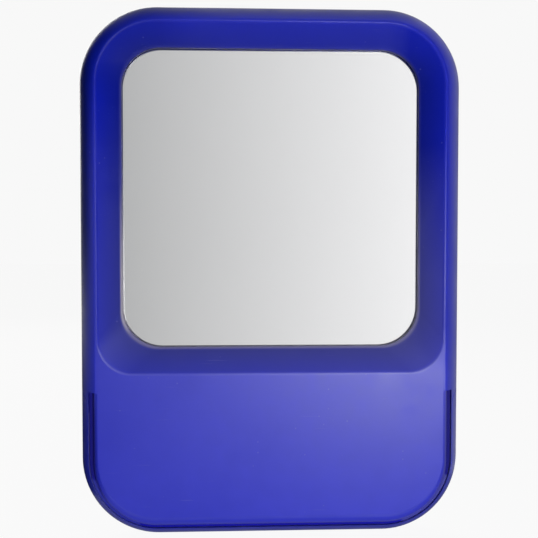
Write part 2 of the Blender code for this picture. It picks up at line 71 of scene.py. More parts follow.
# Main measures, with the swing's end, the stop a little past it, and the round of the stand's arm ends
MM = 0.001
FRONT_Y = SHELL_BOX[0].y
HALF = SHELL_BOX[1].x
HEIGHT = SHELL_BOX[1].z
FRAME_DEPTH = SHELL_BOX[1].y - FRONT_Y
PIVOT = Vector(HINGE["pos_m"])
PIVOT_DEPTH = PIVOT.y - FRONT_Y
OPEN_ANGLE = math.radians(HINGE["range_deg"][1])
STOP_ANGLE = OPEN_ANGLE + math.radians(1.5)
ARM_RADIUS = PIVOT.y - STAND_BOX[0].y

# How finely round shapes are cut, how far cutters pass a face, and what counts as one point or a sharp edge
CORNER_STEPS = 24
TOOL_STEPS = 31
TOOL_TRIM = 0.4 * MM
BAND_STEPS = 14
SOFT_STEPS = 5
ARC_STEPS = 40
TURN_STEPS = 48
PAST = 4 * MM
FAR_PAST = 8 * MM
MERGE = 0.001 * MM
SHARP_ANGLE = math.radians(38)

# How much of the way to the next ring a rounding may take up, where that ring is rounded too and where not
SHARED_REACH = 0.49
FULL_REACH = 0.98

# The outer band's arc: half of its turn, and the turns from -1 to 1 where the crest and the side cut it off
BAND_HALF_TURN = math.radians(22)
CREST_TURN = -0.85
SIDE_TURN = 0.5

# Rounding where the band runs into the side, and the turn that the stand's inner edge takes up
SIDE_ROUND = 4 * MM
STAND_EDGE_TURN = 0.12

# Dish: how far down its slope the lip's ledge starts, the mark on the slope for its painted sheen, and the
# mark on the lip for its dust and painted highlight
LEDGE_SHARE = 0.86
SLOPE_SHEEN = 0.15
LIP_DUST_AND_HIGHLIGHT = 1.0

# Wear of the edges
OUTER_WEAR = 0.4
DISH_WEAR = 0.5
LIP_WEAR = 0.3

# Lower box: depth and bend of its soft front edges, and how far its tool stands proud of the panel
BOX_EDGE_DEPTH = 1.9 * MM
BOX_EDGE_BEND = 0.62 / MM
BOX_LIFT = 0.06 * MM

# Hidden fits: clearances, and radii of the bosses, seats and holes
POCKET_GAP = 0.4 * MM
POCKET_WALL = 2 * MM
RIM_GAP = 1.7 * MM
FIT_GAP = 0.3 * MM
SCREW_GAP = 0.2 * MM
SCREW_END_GAP = 0.5 * MM
BOSS_RADIUS = 3.2 * MM
HUB_RADIUS = 4.4 * MM
SEAT_RADIUS = 5.6 * MM
PIN_HOLE_RADIUS = 2.2 * MM
SILVER_GAP = 0.01 * MM

# The dull part of the slot, which also takes painted shade: its reach past the box's soft edge, and where its
# sides grow dull and darker
SLOT_EDGE_REACH = 2.3 * MM
SLOT_NEAR = 0.1 * MM
SLOT_END_DEPTH = 1 * MM
SLOT_DULL_LOW = 10 * MM
SLOT_DULL_RISE = 30 * MM

# Screws, the tapered bars that cut their cross, and pads
HEAD_EDGE = 0.12 * MM
TIP_SHARE = 0.3
CROSS_FOOT = 0.35 * MM
CROSS_TOP = 1.9 * MM
CROSS_DEPTH = 2 * MM
CROSS_SINK = 0.2 * MM
CROSS_SHAPE = (1.25, 0.36, 1)
CROSS_SEGMENTS = 4
CROSS_TURN = 20
PAD_ROUND = 1.0 * MM
PAD_FOOT = 0.15 * MM

# Stage: the floor, the card that the glass shows, the camera, the lamps, and the flags that gloss shows
FLOOR_SIDE = 12
FLOOR_GLOW = 0.928
CARD_SIZE = (0.56, 0.53)
CARD_PLACE = (0.02, -0.63, 0.27)
CARD_FADE = (-0.19, 0.24)
SENSOR_WIDTH = 36
CLIP_START = 10 * MM
KEY_PLACE = (0.25, -0.85, 0.06)
FILL_PLACE = (0, -1.2, 0.4)
BACK_PLACE = (-0.5, 1.2, 0.7)
KEY_SIZE = 0.25
FILL_SIZE = 0.6
BACK_SIZE = 0.8
BACK_BEAM = 80
FLAGS = (
    ("flag_left_back", 0.02, (0.92, 0.57), (-0.6, 0.165, 0.56), "Y", 90),
    ("flag_left_front", 0.02, (0.76, 1.18), (-0.6, -0.71, 0.64), "Y", 90),
    ("flag_right", 0.02, (0.88, 1.2), (0.6, -0.7, 0.58), "Y", 90),
    ("flag_low", 0.45, (0.9, 0.484), (0, -0.26, 0.05625), "X", 7.65),
    # The two flags on the floor are painted shadow under and beside the object, seen only in gloss
    ("flag_ground_shadow", 0.02, (0.45, 0.7), (-0.335, 0.15, 0.003), "X", 0),
    ("flag_foot_shadow", 0.35, (0.26, 0.08), (0.02, 0.028, 0.0006), "X", 0),
)



# Settings

def length(label, text, value):
    """A length setting in metres."""
    return FloatProperty(name=label, description=text, default=value, unit="LENGTH", precision=5)


def colour(label, text, value):
    """A colour setting, linear."""
    return FloatVectorProperty(
        name=label, description=text, default=value, size=3, subtype="COLOR", min=0, max=1,
    )


def power(label, text, value):
    """A lamp's power setting in watts."""
    return FloatProperty(name=label, description=text, default=value, unit="POWER")


class MirrorSizes(bpy.types.PropertyGroup):
    """Sizes of the moulded pieces."""

    corner_radius: length("Corner radius", "Radius of the frame's outer corners", 40 * MM)
    pane_overlap: length("Pane overlap", "How far the pane reaches behind the lip", 3 * MM)
    opening_radius: length("Opening radius", "Radius of the glass opening's corners", 20 * MM)
    band_width: length("Band width", "Width of the outer band, seen from the front", 9.2 * MM)
    band_depth: length("Band depth", "Depth at which the band meets the straight side", 10.5 * MM)
    crest_width: length("Crest width", "Width of the flat crest between band and dish", 1 * MM)
    dish_depth: length("Dish depth", "Depth of the dish at the glass opening", 9 * MM)
    dish_low_radius: length("Dish lower radius", "Radius of the dish's lower corners", 17 * MM)
    bottom_slope: length("Bottom slope", "Width of the slope below the glass", 12.5 * MM)
    lip_rise: length("Lip rise", "How far the lip's ledge stands proud of the dish's foot", 0.2 * MM)
    lip_gap: length("Lip gap", "Clearance between the lip and the glass", 0.1 * MM)
    clear_glass: length("Clear glass", "Thickness of the clear glass in front of the silvering", 1.0 * MM)
    edge_round: length("Edge rounding", "Rounding of the crest and of the panel's upper edge", 1.0 * MM)
    # Painted light: the depth within which raised faces are lightened, and behind which the painted shade of
    # the dish begins
    lit_depth: length("Fade depth", "Depth at which light and hands no longer fade the blue", 1.0 * MM)
    small_round: length("Small rounding", "Rounding of the rims and the lip", 0.5 * MM)
    box_inset: length("Box inset", "How far the lower box lies inside the outline", 7.3 * MM)
    ledge_draft: length("Ledge draft", "How much the ledge in the slot narrows backwards", 0.8 * MM)
    foot_rise: length("Foot rise", "Height over which the panel bends back above its lower edge", 6.2 * MM)
    foot_lean: FloatProperty(
        name="Foot lean",
        description="How far that bend leans back at its end",
        default=math.radians(14),
        subtype="ANGLE",
    )
    foot_radius: length("Foot radius", "Rounding of the panel's lower edge", 1.8 * MM)
    ledge_depth: length("Ledge depth", "Depth of the ledge that floors the slot", 4.5 * MM)
    slot_width: length("Slot width", "Gap between the lower box and the stand", 2.2 * MM)
    slot_flare: length("Slot flare", "Extra width of the slot at the panel's sides", 0.7 * MM)
    slot_top: length("Slot top", "Height at which the slots end", 75 * MM)
    parting_gap: length("Parting gap", "How far the ledge stays inside the stand", 0.1 * MM)
    parting_back: length("Parting at the back", "Gap between the ledge and the stand at the back", 1.5 * MM)
    stand_gap: length("Stand gap", "Clearance round the stand's arm ends", 0.35 * MM)
    wall: length("Wall", "Wall of the mouldings", 2.4 * MM)
    inner_wall: length("Inner wall", "Distance from the outline to the shell's hollow", 12 * MM)
    cover_gap: length("Cover gap", "Clearance round the back cover", 0.5 * MM)
    head_radius: length("Head radius", "Radius of the screws' heads", 3 * MM)
    head_height: length("Head height", "Height of the screws' countersunk heads", 1.5 * MM)
    screw_radius: length("Screw radius", "Radius of the screws' shanks", 1.45 * MM)


class MirrorColours(bpy.types.PropertyGroup):
    """Colours of the finishes."""

    plastic: colour("Plastic", "Blue of the moulded frame", (0.003, 0.011, 0.40))
    # Painted shade: the blue darkened down in the dish and behind the crest
    plastic_dish_shade: colour("Deep plastic", "The same blue down in the dish", (0.002, 0.008, 0.22))
    # Painted light: the blue lightened on the raised faces of the lower panel
    plastic_lit: colour("Faded plastic", "The same blue on the raised, handled faces", (0.010, 0.018, 0.56))
    plastic_slot: colour("Slot plastic", "The same blue in the slot", (0.010, 0.010, 0.39))
    # Painted shade: the slot darkened up its sides beside the panel
    slot_shade: colour("Slot dirt", "Dirt in the slot beside the panel", (0.010, 0.009, 0.20))
    # Painted shade: the blue darkened at the frame's upper left and on the outer band's left and top
    plastic_dark_shade: colour("Aged plastic", "The same blue at the darkened upper left", (0.001, 0.006, 0.12))
    scuff: colour("Scuffs", "Worn edges and fine scratches of the plastic", (0.20, 0.21, 0.50))
    # Dust on the lip, also used as painted sheen on the dish and as a painted highlight along the lip
    dust_and_sheen: colour("Dust", "Dust that settles along the lip", (0.38, 0.35, 0.42))
    cover: colour("Back cover", "Blue of the textured back cover", (0.014, 0.019, 0.30))
    silver: colour("Silver", "Reflecting layer of the mirror", (0.94, 0.94, 0.94))
    steel: colour("Plated steel", "Zinc on screws, pins and clips", (0.60, 0.60, 0.57))
    rubber: colour("Rubber", "Pads on the cover", (0.025, 0.025, 0.027))
    board: colour("Board", "Grey board behind the glass", (0.36, 0.32, 0.26))
    foam: colour("Foam", "Foam strips behind the board", (0.05, 0.05, 0.055))
    nylon: colour("Nylon", "Friction washers", (0.028, 0.028, 0.031))


class StudioSettings(bpy.types.PropertyGroup):
    """Camera and light."""

    camera_x: length("Camera to the side", "Camera place to the right of the mirror's middle", -15 * MM)
    camera_rise: length("Camera rise", "Camera height above the mirror's middle", 13 * MM)
    camera_distance: length("Camera distance", "From the camera to the crest of the frame", 350.5 * MM)
    lens: FloatProperty(name="Lens", description="Focal length in millimetres", default=46.84)
    aim_x: length("Aim to the side", "Where the camera aims, to the right of the mirror's middle", -1.5 * MM)
    aim_rise: length("Aim rise", "Where the camera aims, above the mirror's middle", 2.1 * MM)
    key_power: power("Key", "Power of the key lamp", 6.2)
    fill_power: power("Fill", "Power of the fill lamp", 1.7)
    back_power: power("Back", "Power of the lamp behind", 2.0)
    ambient: FloatProperty(name="Ambient", description="Strength of the even light all round", default=0.07)
    backdrop: colour("Backdrop", "Pale background and floor", (0.939, 0.939, 0.939))
    card_left: colour("Card left", "Card that the glass shows, at its left", (0.493, 0.493, 0.498))
    card_right: colour("Card right", "Card that the glass shows, at its right", (0.967, 0.957, 0.967))


def sizes():
    """The sizes that are set in this scene."""
    return bpy.context.scene.mirror_sizes


def colours():
    """The colours that are set in this scene."""
    return bpy.context.scene.mirror_colours


# Outlines

def rounded_outline(half, low, high, low_radius, high_radius, steps=CORNER_STEPS):
    """Points (x, z) of an upright rounded rectangle, in one turn from its lower right corner."""
    corners = (
        (half - low_radius, low + low_radius, low_radius, -90),
        (half - high_radius, high - high_radius, high_radius, 0),
        (high_radius - half, high - high_radius, high_radius, 90),
        (low_radius - half, low + low_radius, low_radius, 180),
    )
    points = []
    for x, z, radius, start in corners:
        for step in range(steps + 1):
            angle = math.radians(start + 90 * step / steps)
            points.append((x + radius * math.cos(angle), z + radius * math.sin(angle)))
    return points


def frame_outline(inset, foot=0.0):
    """The object's outline moved in by inset, its foot raised."""
    radius = sizes().corner_radius - inset
    return rounded_outline(HALF - inset, inset + foot, HEIGHT - inset, radius, radius)


def tool_outline(inset, foot=0.0):
    """The frame's outline for a cutting tool, whose points keep clear of the points that it cuts."""
    radius = sizes().corner_radius - TOOL_TRIM - inset
    return rounded_outline(HALF - inset, inset + foot, HEIGHT - inset, radius, radius, TOOL_STEPS)


def opening_outline(grow):
    """The glass opening, grown outwards."""
    overlap = sizes().pane_overlap - grow
    radius = sizes().opening_radius + grow
    low, high = PANE_BOX[0].z + overlap, PANE_BOX[1].z - overlap
    return rounded_outline(PANE_BOX[1].x - overlap, low, high, radius, radius)


def dish_outline():
    """The dish's edge in the crest plane."""
    size = sizes()
    inset = size.band_width + size.crest_width
    low = PANE_BOX[0].z + size.pane_overlap - size.bottom_slope
    high_radius = size.corner_radius - inset
    return rounded_outline(HALF - inset, low, HEIGHT - inset, size.dish_low_radius, high_radius)


def cover_outline(gap):
    """The cover's stepped outline, wide behind the glass and narrow where the stand lies, grown by gap."""
    size = sizes()
    quarter = TOOL_STEPS + 1
    wide_inset = HALF - COVER_BOX[1].x - gap
    narrow_inset = wide_inset + size.box_inset
    step_z = size.slot_top + size.wall + size.cover_gap - gap
    wide, narrow = tool_outline(wide_inset), tool_outline(narrow_inset)
    wide_x, narrow_x = HALF - wide_inset, HALF - narrow_inset
    right = narrow[:quarter] + [(narrow_x, step_z), (wide_x, step_z)] + wide[quarter:2 * quarter]
    left = wide[2 * quarter:3 * quarter] + [(-wide_x, step_z), (-narrow_x, step_z)] + narrow[3 * quarter:]
    return right + left


def ring(outline, depth, rounding=0.0, wear=0.0, dust_and_sheen=0.0):
    """An (x, z) outline at a depth, with its edge's rounding and wear, and its mark for dust and painted
    sheen.
    """
    return [Vector((x, FRONT_Y + depth, z)) for x, z in outline], rounding, wear, dust_and_sheen


def side_ring(outline, x):
    """A (depth, z) outline at x."""
    return [Vector((x, FRONT_Y + depth, z)) for depth, z in outline], 0.0, 0.0, 0.0


def between(first, second, share):
    """The outline at share of the way from first to second."""
    return [(a[0] + (b[0] - a[0]) * share, a[1] + (b[1] - a[1]) * share) for a, b in zip(first, second)]


def band_arc():
    """Centre (inset, depth), radius and middle angle of the arc that the outer band follows."""
    size = sizes()
    radius = math.hypot(size.band_width, size.band_depth) / (2 * math.sin(BAND_HALF_TURN))
    lean = math.atan2(size.band_depth, size.band_width)
    sag = radius * math.cos(BAND_HALF_TURN)
    centre = (size.band_width / 2 + sag * math.sin(lean), size.band_depth / 2 + sag * math.cos(lean))
    return centre, radius, lean


def band_point(turn):
    """(inset, depth, slope) on the outer band, turn from -1 at the crest to 1 at the side."""
    centre, radius, lean = band_arc()
    angle = lean + turn * BAND_HALF_TURN
    return centre[0] - radius * math.sin(angle), centre[1] - radius * math.cos(angle), angle


def band_turn_at(inset):
    """The turn at which the outer band lies at this inset."""
    centre, radius, lean = band_arc()
    return (math.asin((centre[0] - inset) / radius) - lean) / BAND_HALF_TURN


# Mesh tools

def soften(rings):
    """Rounds the corner at each ring that asks for it, on a curve between its two neighbours."""
    result = []
    for index, (points, rounding, wear, dust_and_sheen) in enumerate(rings):
        if rounding == 0:
            result.append((points, wear, dust_and_sheen))
            continue
        before, after = rings[index - 1], rings[(index + 1) % len(rings)]
        for step in range(SOFT_STEPS + 1):
            share = step / SOFT_STEPS
            bent = []
            for point, back, front in zip(points, before[0], after[0]):
                start = point + towards(back - point, rounding, before[1])
                end = point + towards(front - point, rounding, after[1])
                bent.append(start * (1 - share) ** 2 + point * 2 * share * (1 - share) + end * share ** 2)
            result.append((bent, wear * 4 * share * (1 - share), dust_and_sheen))
    return result


def towards(way, rounding, neighbour):
    """A step along way, no longer than the rounding, that leaves room for the neighbour's own rounding."""
    limit = SHARED_REACH if neighbour else FULL_REACH
    return way * min(limit, rounding / max(way.length, MERGE))


def grow_loop(bm, loop, points):
    """Extrudes a closed loop of vertices and moves the new loop to points."""
    edges = [bm.edges.get(pair) for pair in zip(loop, loop[1:] + loop[:1])]
    grown = bmesh.ops.extrude_edge_only(bm, edges=edges)["geom"]
    fresh = {item for item in grown if isinstance(item, bmesh.types.BMVert)}
    result = []
    for vert, point in zip(loop, points):
        partner = next(edge.other_vert(vert) for edge in vert.link_edges if edge.other_vert(vert) in fresh)
        partner.co = point
        result.append(partner)
    return result


def paint(loop, layers, section):
    """Writes a section's wear and its mark for dust and painted sheen to its loop of vertices."""
    for layer, value in zip(layers, section[1:]):
        for vert in loop:
            vert[layer] = value


def loft(rings, closed=False):
    """A bmesh skinned over rings of equal point count, capped, or closed into a ring."""
    bm = bmesh.new()
    layers = [bm.verts.layers.float.new(name) for name in ("wear", "dust_and_sheen")]
    soft = soften(rings)
    if closed:
        soft.append(soft[0])
    loop = [bm.verts.new(point) for point in soft[0][0]]
    first = loop
    for pair in zip(loop, loop[1:] + loop[:1]):
        bm.edges.new(pair)
    paint(loop, layers, soft[0])
    for section in soft[1:]:
        loop = grow_loop(bm, loop, section[0])
        paint(loop, layers, section)
    if not closed:
        for end in (first, loop):
            edges = [bm.edges.get(pair) for pair in zip(end, end[1:] + end[:1])]
            bmesh.ops.contextual_create(bm, geom=edges)
    bmesh.ops.remove_doubles(bm, verts=bm.verts, dist=MERGE)
    bmesh.ops.recalc_face_normals(bm, faces=bm.faces)
    return bm


def turned(profile, place):
    """A bmesh turned from (radius, height) points about its own Z, then put in place by a matrix."""
    bm = bmesh.new()
    verts = [bm.verts.new((radius, 0, height)) for radius, height in profile]
    edges = [bm.edges.new(pair) for pair in zip(verts, verts[1:])]
    bmesh.ops.spin(
        bm,
        geom=verts + edges,
        cent=(0, 0, 0),
        axis=(0, 0, 1),
        angle=math.tau,
        steps=TURN_STEPS,
        use_merge=True,
    )
    bmesh.ops.remove_doubles(bm, verts=bm.verts, dist=MERGE)
    bmesh.ops.recalc_face_normals(bm, faces=bm.faces)
    bmesh.ops.transform(bm, matrix=place, verts=bm.verts)
    return bm


def rod(bm, start, end, radius):
    """Adds a capped round rod between two points."""
    turn = Vector((0, 0, 1)).rotation_difference(end - start).to_matrix().to_4x4()
    bmesh.ops.create_cone(
        bm,
        cap_ends=True,
        segments=TURN_STEPS,
        radius1=radius,
        radius2=radius,
        depth=(end - start).length,
        matrix=Matrix.Translation((start + end) / 2) @ turn,
    )


def block(low, high):
    """A bmesh block between two corners."""
    bm = bmesh.new()
    size = high - low
    matrix = Matrix.Translation((low + high) / 2) @ Matrix.Diagonal((*size, 1))
    bmesh.ops.create_cube(bm, size=1, matrix=matrix)
    return bm


def as_object(name, bm):
    """An object at the origin from a bmesh."""
    mesh = bpy.data.meshes.new(name)
    bm.to_mesh(mesh)
    bm.free()
    thing = bpy.data.objects.new(name, mesh)
    bpy.context.scene.collection.objects.link(thing)
    return thing


def carve(thing, steps):
    """Applies (operation, bmesh) steps to an object by exact Booleans, and removes the tools."""
    tools = []
    for operation, bm in steps:
        tool = as_object("tool", bm)
        tools.append(tool)
        modifier = thing.modifiers.new(operation, "BOOLEAN")
        modifier.operation = operation
        modifier.object = tool
        modifier.solver = "EXACT"
    graph = bpy.context.evaluated_depsgraph_get()
    mesh = bpy.data.meshes.new_from_object(thing.evaluated_get(graph))
    old = thing.data
    thing.modifiers.clear()
    thing.data = mesh
    mesh.name = thing.name
    bpy.data.meshes.remove(old)
    for tool in tools:
        bpy.data.objects.remove(tool)
    return thing


def finish_piece(thing, finish, body, nodes):
    """Shades a piece, gives it its finish, and lets it stand for its nodes on a body."""
    mesh = thing.data
    if not mesh.polygons:
        raise RuntimeError(f"{thing.name} came out empty")
    mesh.materials.clear()
    mesh.materials.append(finish)
    mesh.shade_smooth()
    mesh.set_sharp_from_angle(angle=SHARP_ANGLE)
    weights = thing.modifiers.new("even shading", "WEIGHTED_NORMAL")
    weights.keep_sharp = True
    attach(thing, body)
    if nodes:
        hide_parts(*nodes)
    return thing


def dress_node(name, finish):
    """Gives a kept node its finish."""
    mesh = frame["nodes"][name].data
    mesh.materials.clear()
    mesh.materials.append(finish)


# Shapes of the shell and the stand

def band_rings(start, end):
    """Rings along the outer band between two turns."""
    rings = []
    for step in range(BAND_STEPS + 1):
        inset, depth, _ = band_point(start + (end - start) * step / BAND_STEPS)
        rings.append(ring(frame_outline(inset), depth))
    return rings


def side_rings(back_rounding):
    """The corner rings of the straight side: where the band runs into it, and its back edge."""
    inset, depth, slope = band_point(SIDE_TURN)
    return [
        ring(frame_outline(0), depth + inset * math.tan(slope), SIDE_ROUND),
        ring(frame_outline(0), FRAME_DEPTH, back_rounding),
    ]


def shell_solid():
    """The frame, its dish, lip and pane pocket, and the panel, in one closed ring of loops."""
    size = sizes()
    dish, opening = dish_outline(), opening_outline(0)
    ledge = between(dish, opening, LEDGE_SHARE)
    pocket = opening_outline(size.pane_overlap + POCKET_GAP)
    rim = opening_outline(size.pane_overlap + POCKET_WALL)
    lip_back = PANE_BOX[0].y - FRONT_Y - size.lip_gap
    rim_back = COVER_BOX[0].y - FRONT_Y - RIM_GAP
    inset, depth, slope = band_point(CREST_TURN)
    rings = [
        ring(frame_outline(inset + depth / math.tan(slope)), 0, size.edge_round, OUTER_WEAR),
        ring(dish, 0, size.edge_round, DISH_WEAR, SLOPE_SHEEN),
        ring(ledge, LEDGE_SHARE * size.dish_depth, size.small_round, 0, SLOPE_SHEEN),
        ring(opening, size.dish_depth - size.lip_rise, size.small_round, LIP_WEAR, LIP_DUST_AND_HIGHLIGHT),
        ring(opening, lip_back, 0, 0, LIP_DUST_AND_HIGHLIGHT),
        ring(pocket, lip_back),
        ring(pocket, rim_back),
        ring(rim, rim_back),
        ring(rim, lip_back + size.wall),
        ring(frame_outline(size.inner_wall), size.wall + PAST),
        ring(frame_outline(size.inner_wall), FRAME_DEPTH),
    ]
    rings += side_rings(size.small_round)[::-1] + band_rings(SIDE_TURN, CREST_TURN)
    return loft(rings, closed=True)


def ledge_inset(depth):
    """Inset of the outer face of the ledge that floors the slot."""
    size = sizes()
    share = (depth - size.ledge_depth) / (FRAME_DEPTH + FAR_PAST - size.ledge_depth)
    return size.box_inset - size.slot_width + size.parting_gap + size.ledge_draft * share


def foot_profile():
    """(rise, depth) pairs down the panel's foot: a gentle bend, then a round edge into the slot."""
    size = sizes()
    lean, radius = size.foot_lean, size.foot_radius
    steps = 2 * SOFT_STEPS
    turn = radius * (1 - math.sin(lean))
    bend = math.tan(lean) * (size.foot_rise - turn) / 2
    points = []
    for step in range(steps):
        share = step / steps
        points.append((size.foot_rise + (turn - size.foot_rise) * share, bend * share ** 2))
    for step in range(steps + 1):
        angle = lean + (math.pi / 2 - lean) * step / steps
        points.append((radius * (1 - math.sin(angle)), bend + radius * (math.cos(lean) - math.cos(angle))))
    return points


def lower_box():
    """The outside of the lower box: soft front edges, a bent foot, and the ledge that floors the slot."""
    size = sizes()
    front_inset = size.box_inset + BOX_EDGE_BEND * BOX_EDGE_DEPTH ** 2
    rings = [ring(tool_outline(front_inset, size.foot_rise), -FAR_PAST)]
    for foot, depth in foot_profile():
        soft = size.slot_flare + BOX_EDGE_BEND * max(0, BOX_EDGE_DEPTH - depth) ** 2
        rings.append(ring(tool_outline(size.box_inset + soft, foot - soft), depth - BOX_LIFT))
    wall_line = tool_outline(size.box_inset + size.slot_flare, -size.slot_flare)
    rings.append(ring(wall_line, size.ledge_depth - BOX_LIFT))
    for back in (size.ledge_depth, FRAME_DEPTH + FAR_PAST):
        rings.append(ring(tool_outline(ledge_inset(back)), back - BOX_LIFT))
    return loft(rings)


def arm_arc(radius, end):
    """(depth, z) points down the front and round the pivot, from the front to the end angle."""
    points = [(-PAST, -PAST), (-PAST, PIVOT.z)]
    for step in range(ARC_STEPS + 1):
        angle = math.pi + (end - math.pi) * step / ARC_STEPS
        points.append((PIVOT_DEPTH + radius * math.cos(angle), PIVOT.z + radius * math.sin(angle)))
    return points


def right_through(side):
    """A bmesh of a (depth, z) outline drawn through the whole width."""
    return loft([side_ring(side, x) for x in (-HALF - PAST, HALF + PAST)])


def stand_room():
    """The stand's room: round its arm ends, sloped behind as its stop, and the slot beside the panel."""
    size = sizes()
    back = FRAME_DEPTH + PAST
    side = arm_arc(ARM_RADIUS + size.stand_gap, STOP_ANGLE)
    depth, height = side[-1]
    side += [(back, height - (back - depth) / math.tan(STOP_ANGLE)), (back, -PAST)]
    room = as_object("room", right_through(side))
    slot = HALF - size.box_inset + size.slot_width
    clear = 1.5 * PAST
    low = Vector((-slot, FRONT_Y - clear, -clear))
    high = Vector((slot, FRONT_Y + FRAME_DEPTH + clear, size.slot_top))
    carve(room, [("UNION", block(low, high)), ("DIFFERENCE", lower_box())])
    bm = bmesh.new()
    bm.from_mesh(room.data)
    bpy.data.objects.remove(room)
    return bm


def node_names(start):
    """Names of the frame's nodes that start with these words, in order."""
    names = sorted(name for name in frame["nodes"] if name.startswith(start))
    if not names:
        raise RuntimeError(f"the frame has no node that starts with {start}")
    return names


def screw_names():
    """Names of the cover screws' nodes."""
    return node_names("cover_screw")


def screw_top(name):
    """The middle of a screw's flat top."""
    low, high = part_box(name)
    return Vector(((low.x + high.x) / 2, high.y, (low.z + high.z) / 2))


def facing_back(point):
    """A place at a point, with its own +Z turned to face backwards."""
    return Matrix.Translation(point) @ Matrix.Rotation(math.radians(-90), 4, "X")


def pivot_rods(start, end, radius):
    """A pair of rods on the pivot axis, from x = start to x = end on each side."""
    bm = bmesh.new()
    for sign in (-1, 1):
        rod(bm, PIVOT + Vector((sign * start, 0, 0)), PIVOT + Vector((sign * end, 0, 0)), radius)
    return bm


def screw_rods(names, front, back, radius):
    """Rods on the axes of the named screws, between two depths."""
    bm = bmesh.new()
    for name in names:
        top = screw_top(name)
        rod(bm, Vector((top.x, FRONT_Y + front, top.z)), Vector((top.x, FRONT_Y + back, top.z)), radius)
    return bm


def inset_at(x, z):
    """How far a point lies inside the object's outline, in its lower half."""
    radius = sizes().corner_radius
    side, low = abs(x) - (HALF - radius), radius - z
    if side > 0 and low > 0:
        return radius - math.hypot(side, low)
    return min(HALF - abs(x), z)


def mark_slot(shell):
    """Gives the slot's floor and side edges the negative value that the finish takes for a dull hollow with
    painted shade, growing up the side edges.
    """
    size = sizes()
    edge_width = size.slot_flare + SLOT_EDGE_REACH
    wear = shell.data.attributes["wear"].data
    for vert in shell.data.vertices:
        x, y, z = vert.co
        past, depth = inset_at(x, z) - size.box_inset, y - FRONT_Y
        if z > size.slot_top + SLOT_NEAR or past > edge_width or past < -size.slot_width:
            continue
        below_end = z < size.slot_top - SLOT_NEAR or depth > SLOT_END_DEPTH
        if depth > size.ledge_depth - 2 * SLOT_NEAR:
            wear[vert.index].value = -1
        elif past > -SLOT_NEAR and below_end:
            up_side = min(1, max(0, (z - SLOT_DULL_LOW) / SLOT_DULL_RISE))
            wear[vert.index].value = -up_side * (1 - max(0, past) / edge_width)
    return shell


def shell_object():
    """The front shell with bosses and hubs, hollowed for the cover, the stand, the screws and the pins."""
    size = sizes()
    cover_front = COVER_BOX[0].y - FRONT_Y
    cover_seat = cover_front - FIT_GAP
    screw_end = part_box("cover_screw_top_left")[0].y - FRONT_Y - SCREW_END_GAP
    screw_hole = size.screw_radius + SCREW_GAP
    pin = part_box("pivot_pin_right")
    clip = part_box("pin_clip_right")
    wall_x = HALF - ledge_inset(PIVOT_DEPTH)
    foot_screws = [name for name in screw_names() if "foot" in name]
    recess = loft([ring(cover_outline(size.cover_gap), depth) for depth in (cover_seat, FRAME_DEPTH + PAST)])
    shell = as_object("moulded_front_shell", shell_solid())
    return mark_slot(carve(shell, [
        ("UNION", screw_rods(foot_screws, size.wall / 2, cover_seat, BOSS_RADIUS)),
        ("UNION", pivot_rods(clip[1].x + FIT_GAP, wall_x - size.wall / 2, HUB_RADIUS)),
        ("DIFFERENCE", recess),
        ("DIFFERENCE", stand_room()),
        ("DIFFERENCE", screw_rods(screw_names(), screw_end, cover_front, screw_hole)),
        ("DIFFERENCE", pivot_rods(pin[0].x - PAST, pin[1].x + PAST, PIN_HOLE_RADIUS)),
    ]))


def stand_object():
    """The stand: a ring of the outer band's own section, cut to a U with round arm ends."""
    size = sizes()
    inset = size.box_inset - size.slot_width
    start = band_turn_at(inset)
    tip = band_point(start)
    rings = [
        ring(frame_outline(ledge_inset(FRAME_DEPTH) - size.parting_back), FRAME_DEPTH, size.small_round),
        ring(frame_outline(inset), tip[1], size.small_round, OUTER_WEAR),
    ]
    rings += band_rings(start + STAND_EDGE_TURN, SIDE_TURN)
    rings += side_rings(size.small_round)
    stand = as_object("moulded_stand", loft(rings, closed=True))
    arms = arm_arc(ARM_RADIUS, 0) + [(FRAME_DEPTH + PAST, PIVOT.z), (FRAME_DEPTH + PAST, -PAST)]
    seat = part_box("friction_washer_right")[1].x + FIT_GAP
    hole_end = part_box("pivot_pin_right")[1].x + FIT_GAP
    return carve(stand, [
        ("INTERSECT", right_through(arms)),
        ("DIFFERENCE", pivot_rods(seat - PAST, seat, SEAT_RADIUS)),
        ("DIFFERENCE", pivot_rods(seat - PAST, hole_end, PIN_HOLE_RADIUS)),
    ])


# Shader nodes

def fill(tree, made, inputs):
    """Sets or links a node's inputs."""
    for name, value in dict(inputs).items():
        if isinstance(value, bpy.types.NodeSocket):
            tree.links.new(value, made.inputs[name])
        else:
            made.inputs[name].default_value = value


def add(tree, kind, inputs=(), **settings):
    """A node with its settings, and its inputs set or linked."""
    made = tree.nodes.new(kind)
    for name, value in settings.items():
        setattr(made, name, value)
    fill(tree, made, inputs)
    return made


def join(tree, operation, first, *others):
    """Values joined one after the other by a Math operation."""
    result = first
    for other in others:
        made = add(tree, "ShaderNodeMath", {0: result, 1: other}, operation=operation)
        result = made.outputs["Value"]
    return result


def times(tree, *values):
    """The product of values."""
    return join(tree, "MULTIPLY", *values)


def most(tree, *values):
    """The greatest of values."""
    return join(tree, "MAXIMUM", *values)


def spread(tree, value, low, high, start=0.3, end=0.7):
    """A value stretched from the range start to end onto low to high."""
    made = add(tree, "ShaderNodeMapRange", {
        "Value": value, "From Min": start, "From Max": end, "To Min": low, "To Max": high,
    })
    return made.outputs["Result"]


def noise(tree, place, scale, detail, roughness=0.5):
    """A noise from 0 to 1."""
    made = add(tree, "ShaderNodeTexNoise", {
        "Vector": place, "Scale": scale, "Detail": detail, "Roughness": roughness,
    })
    return made.outputs["Fac"]


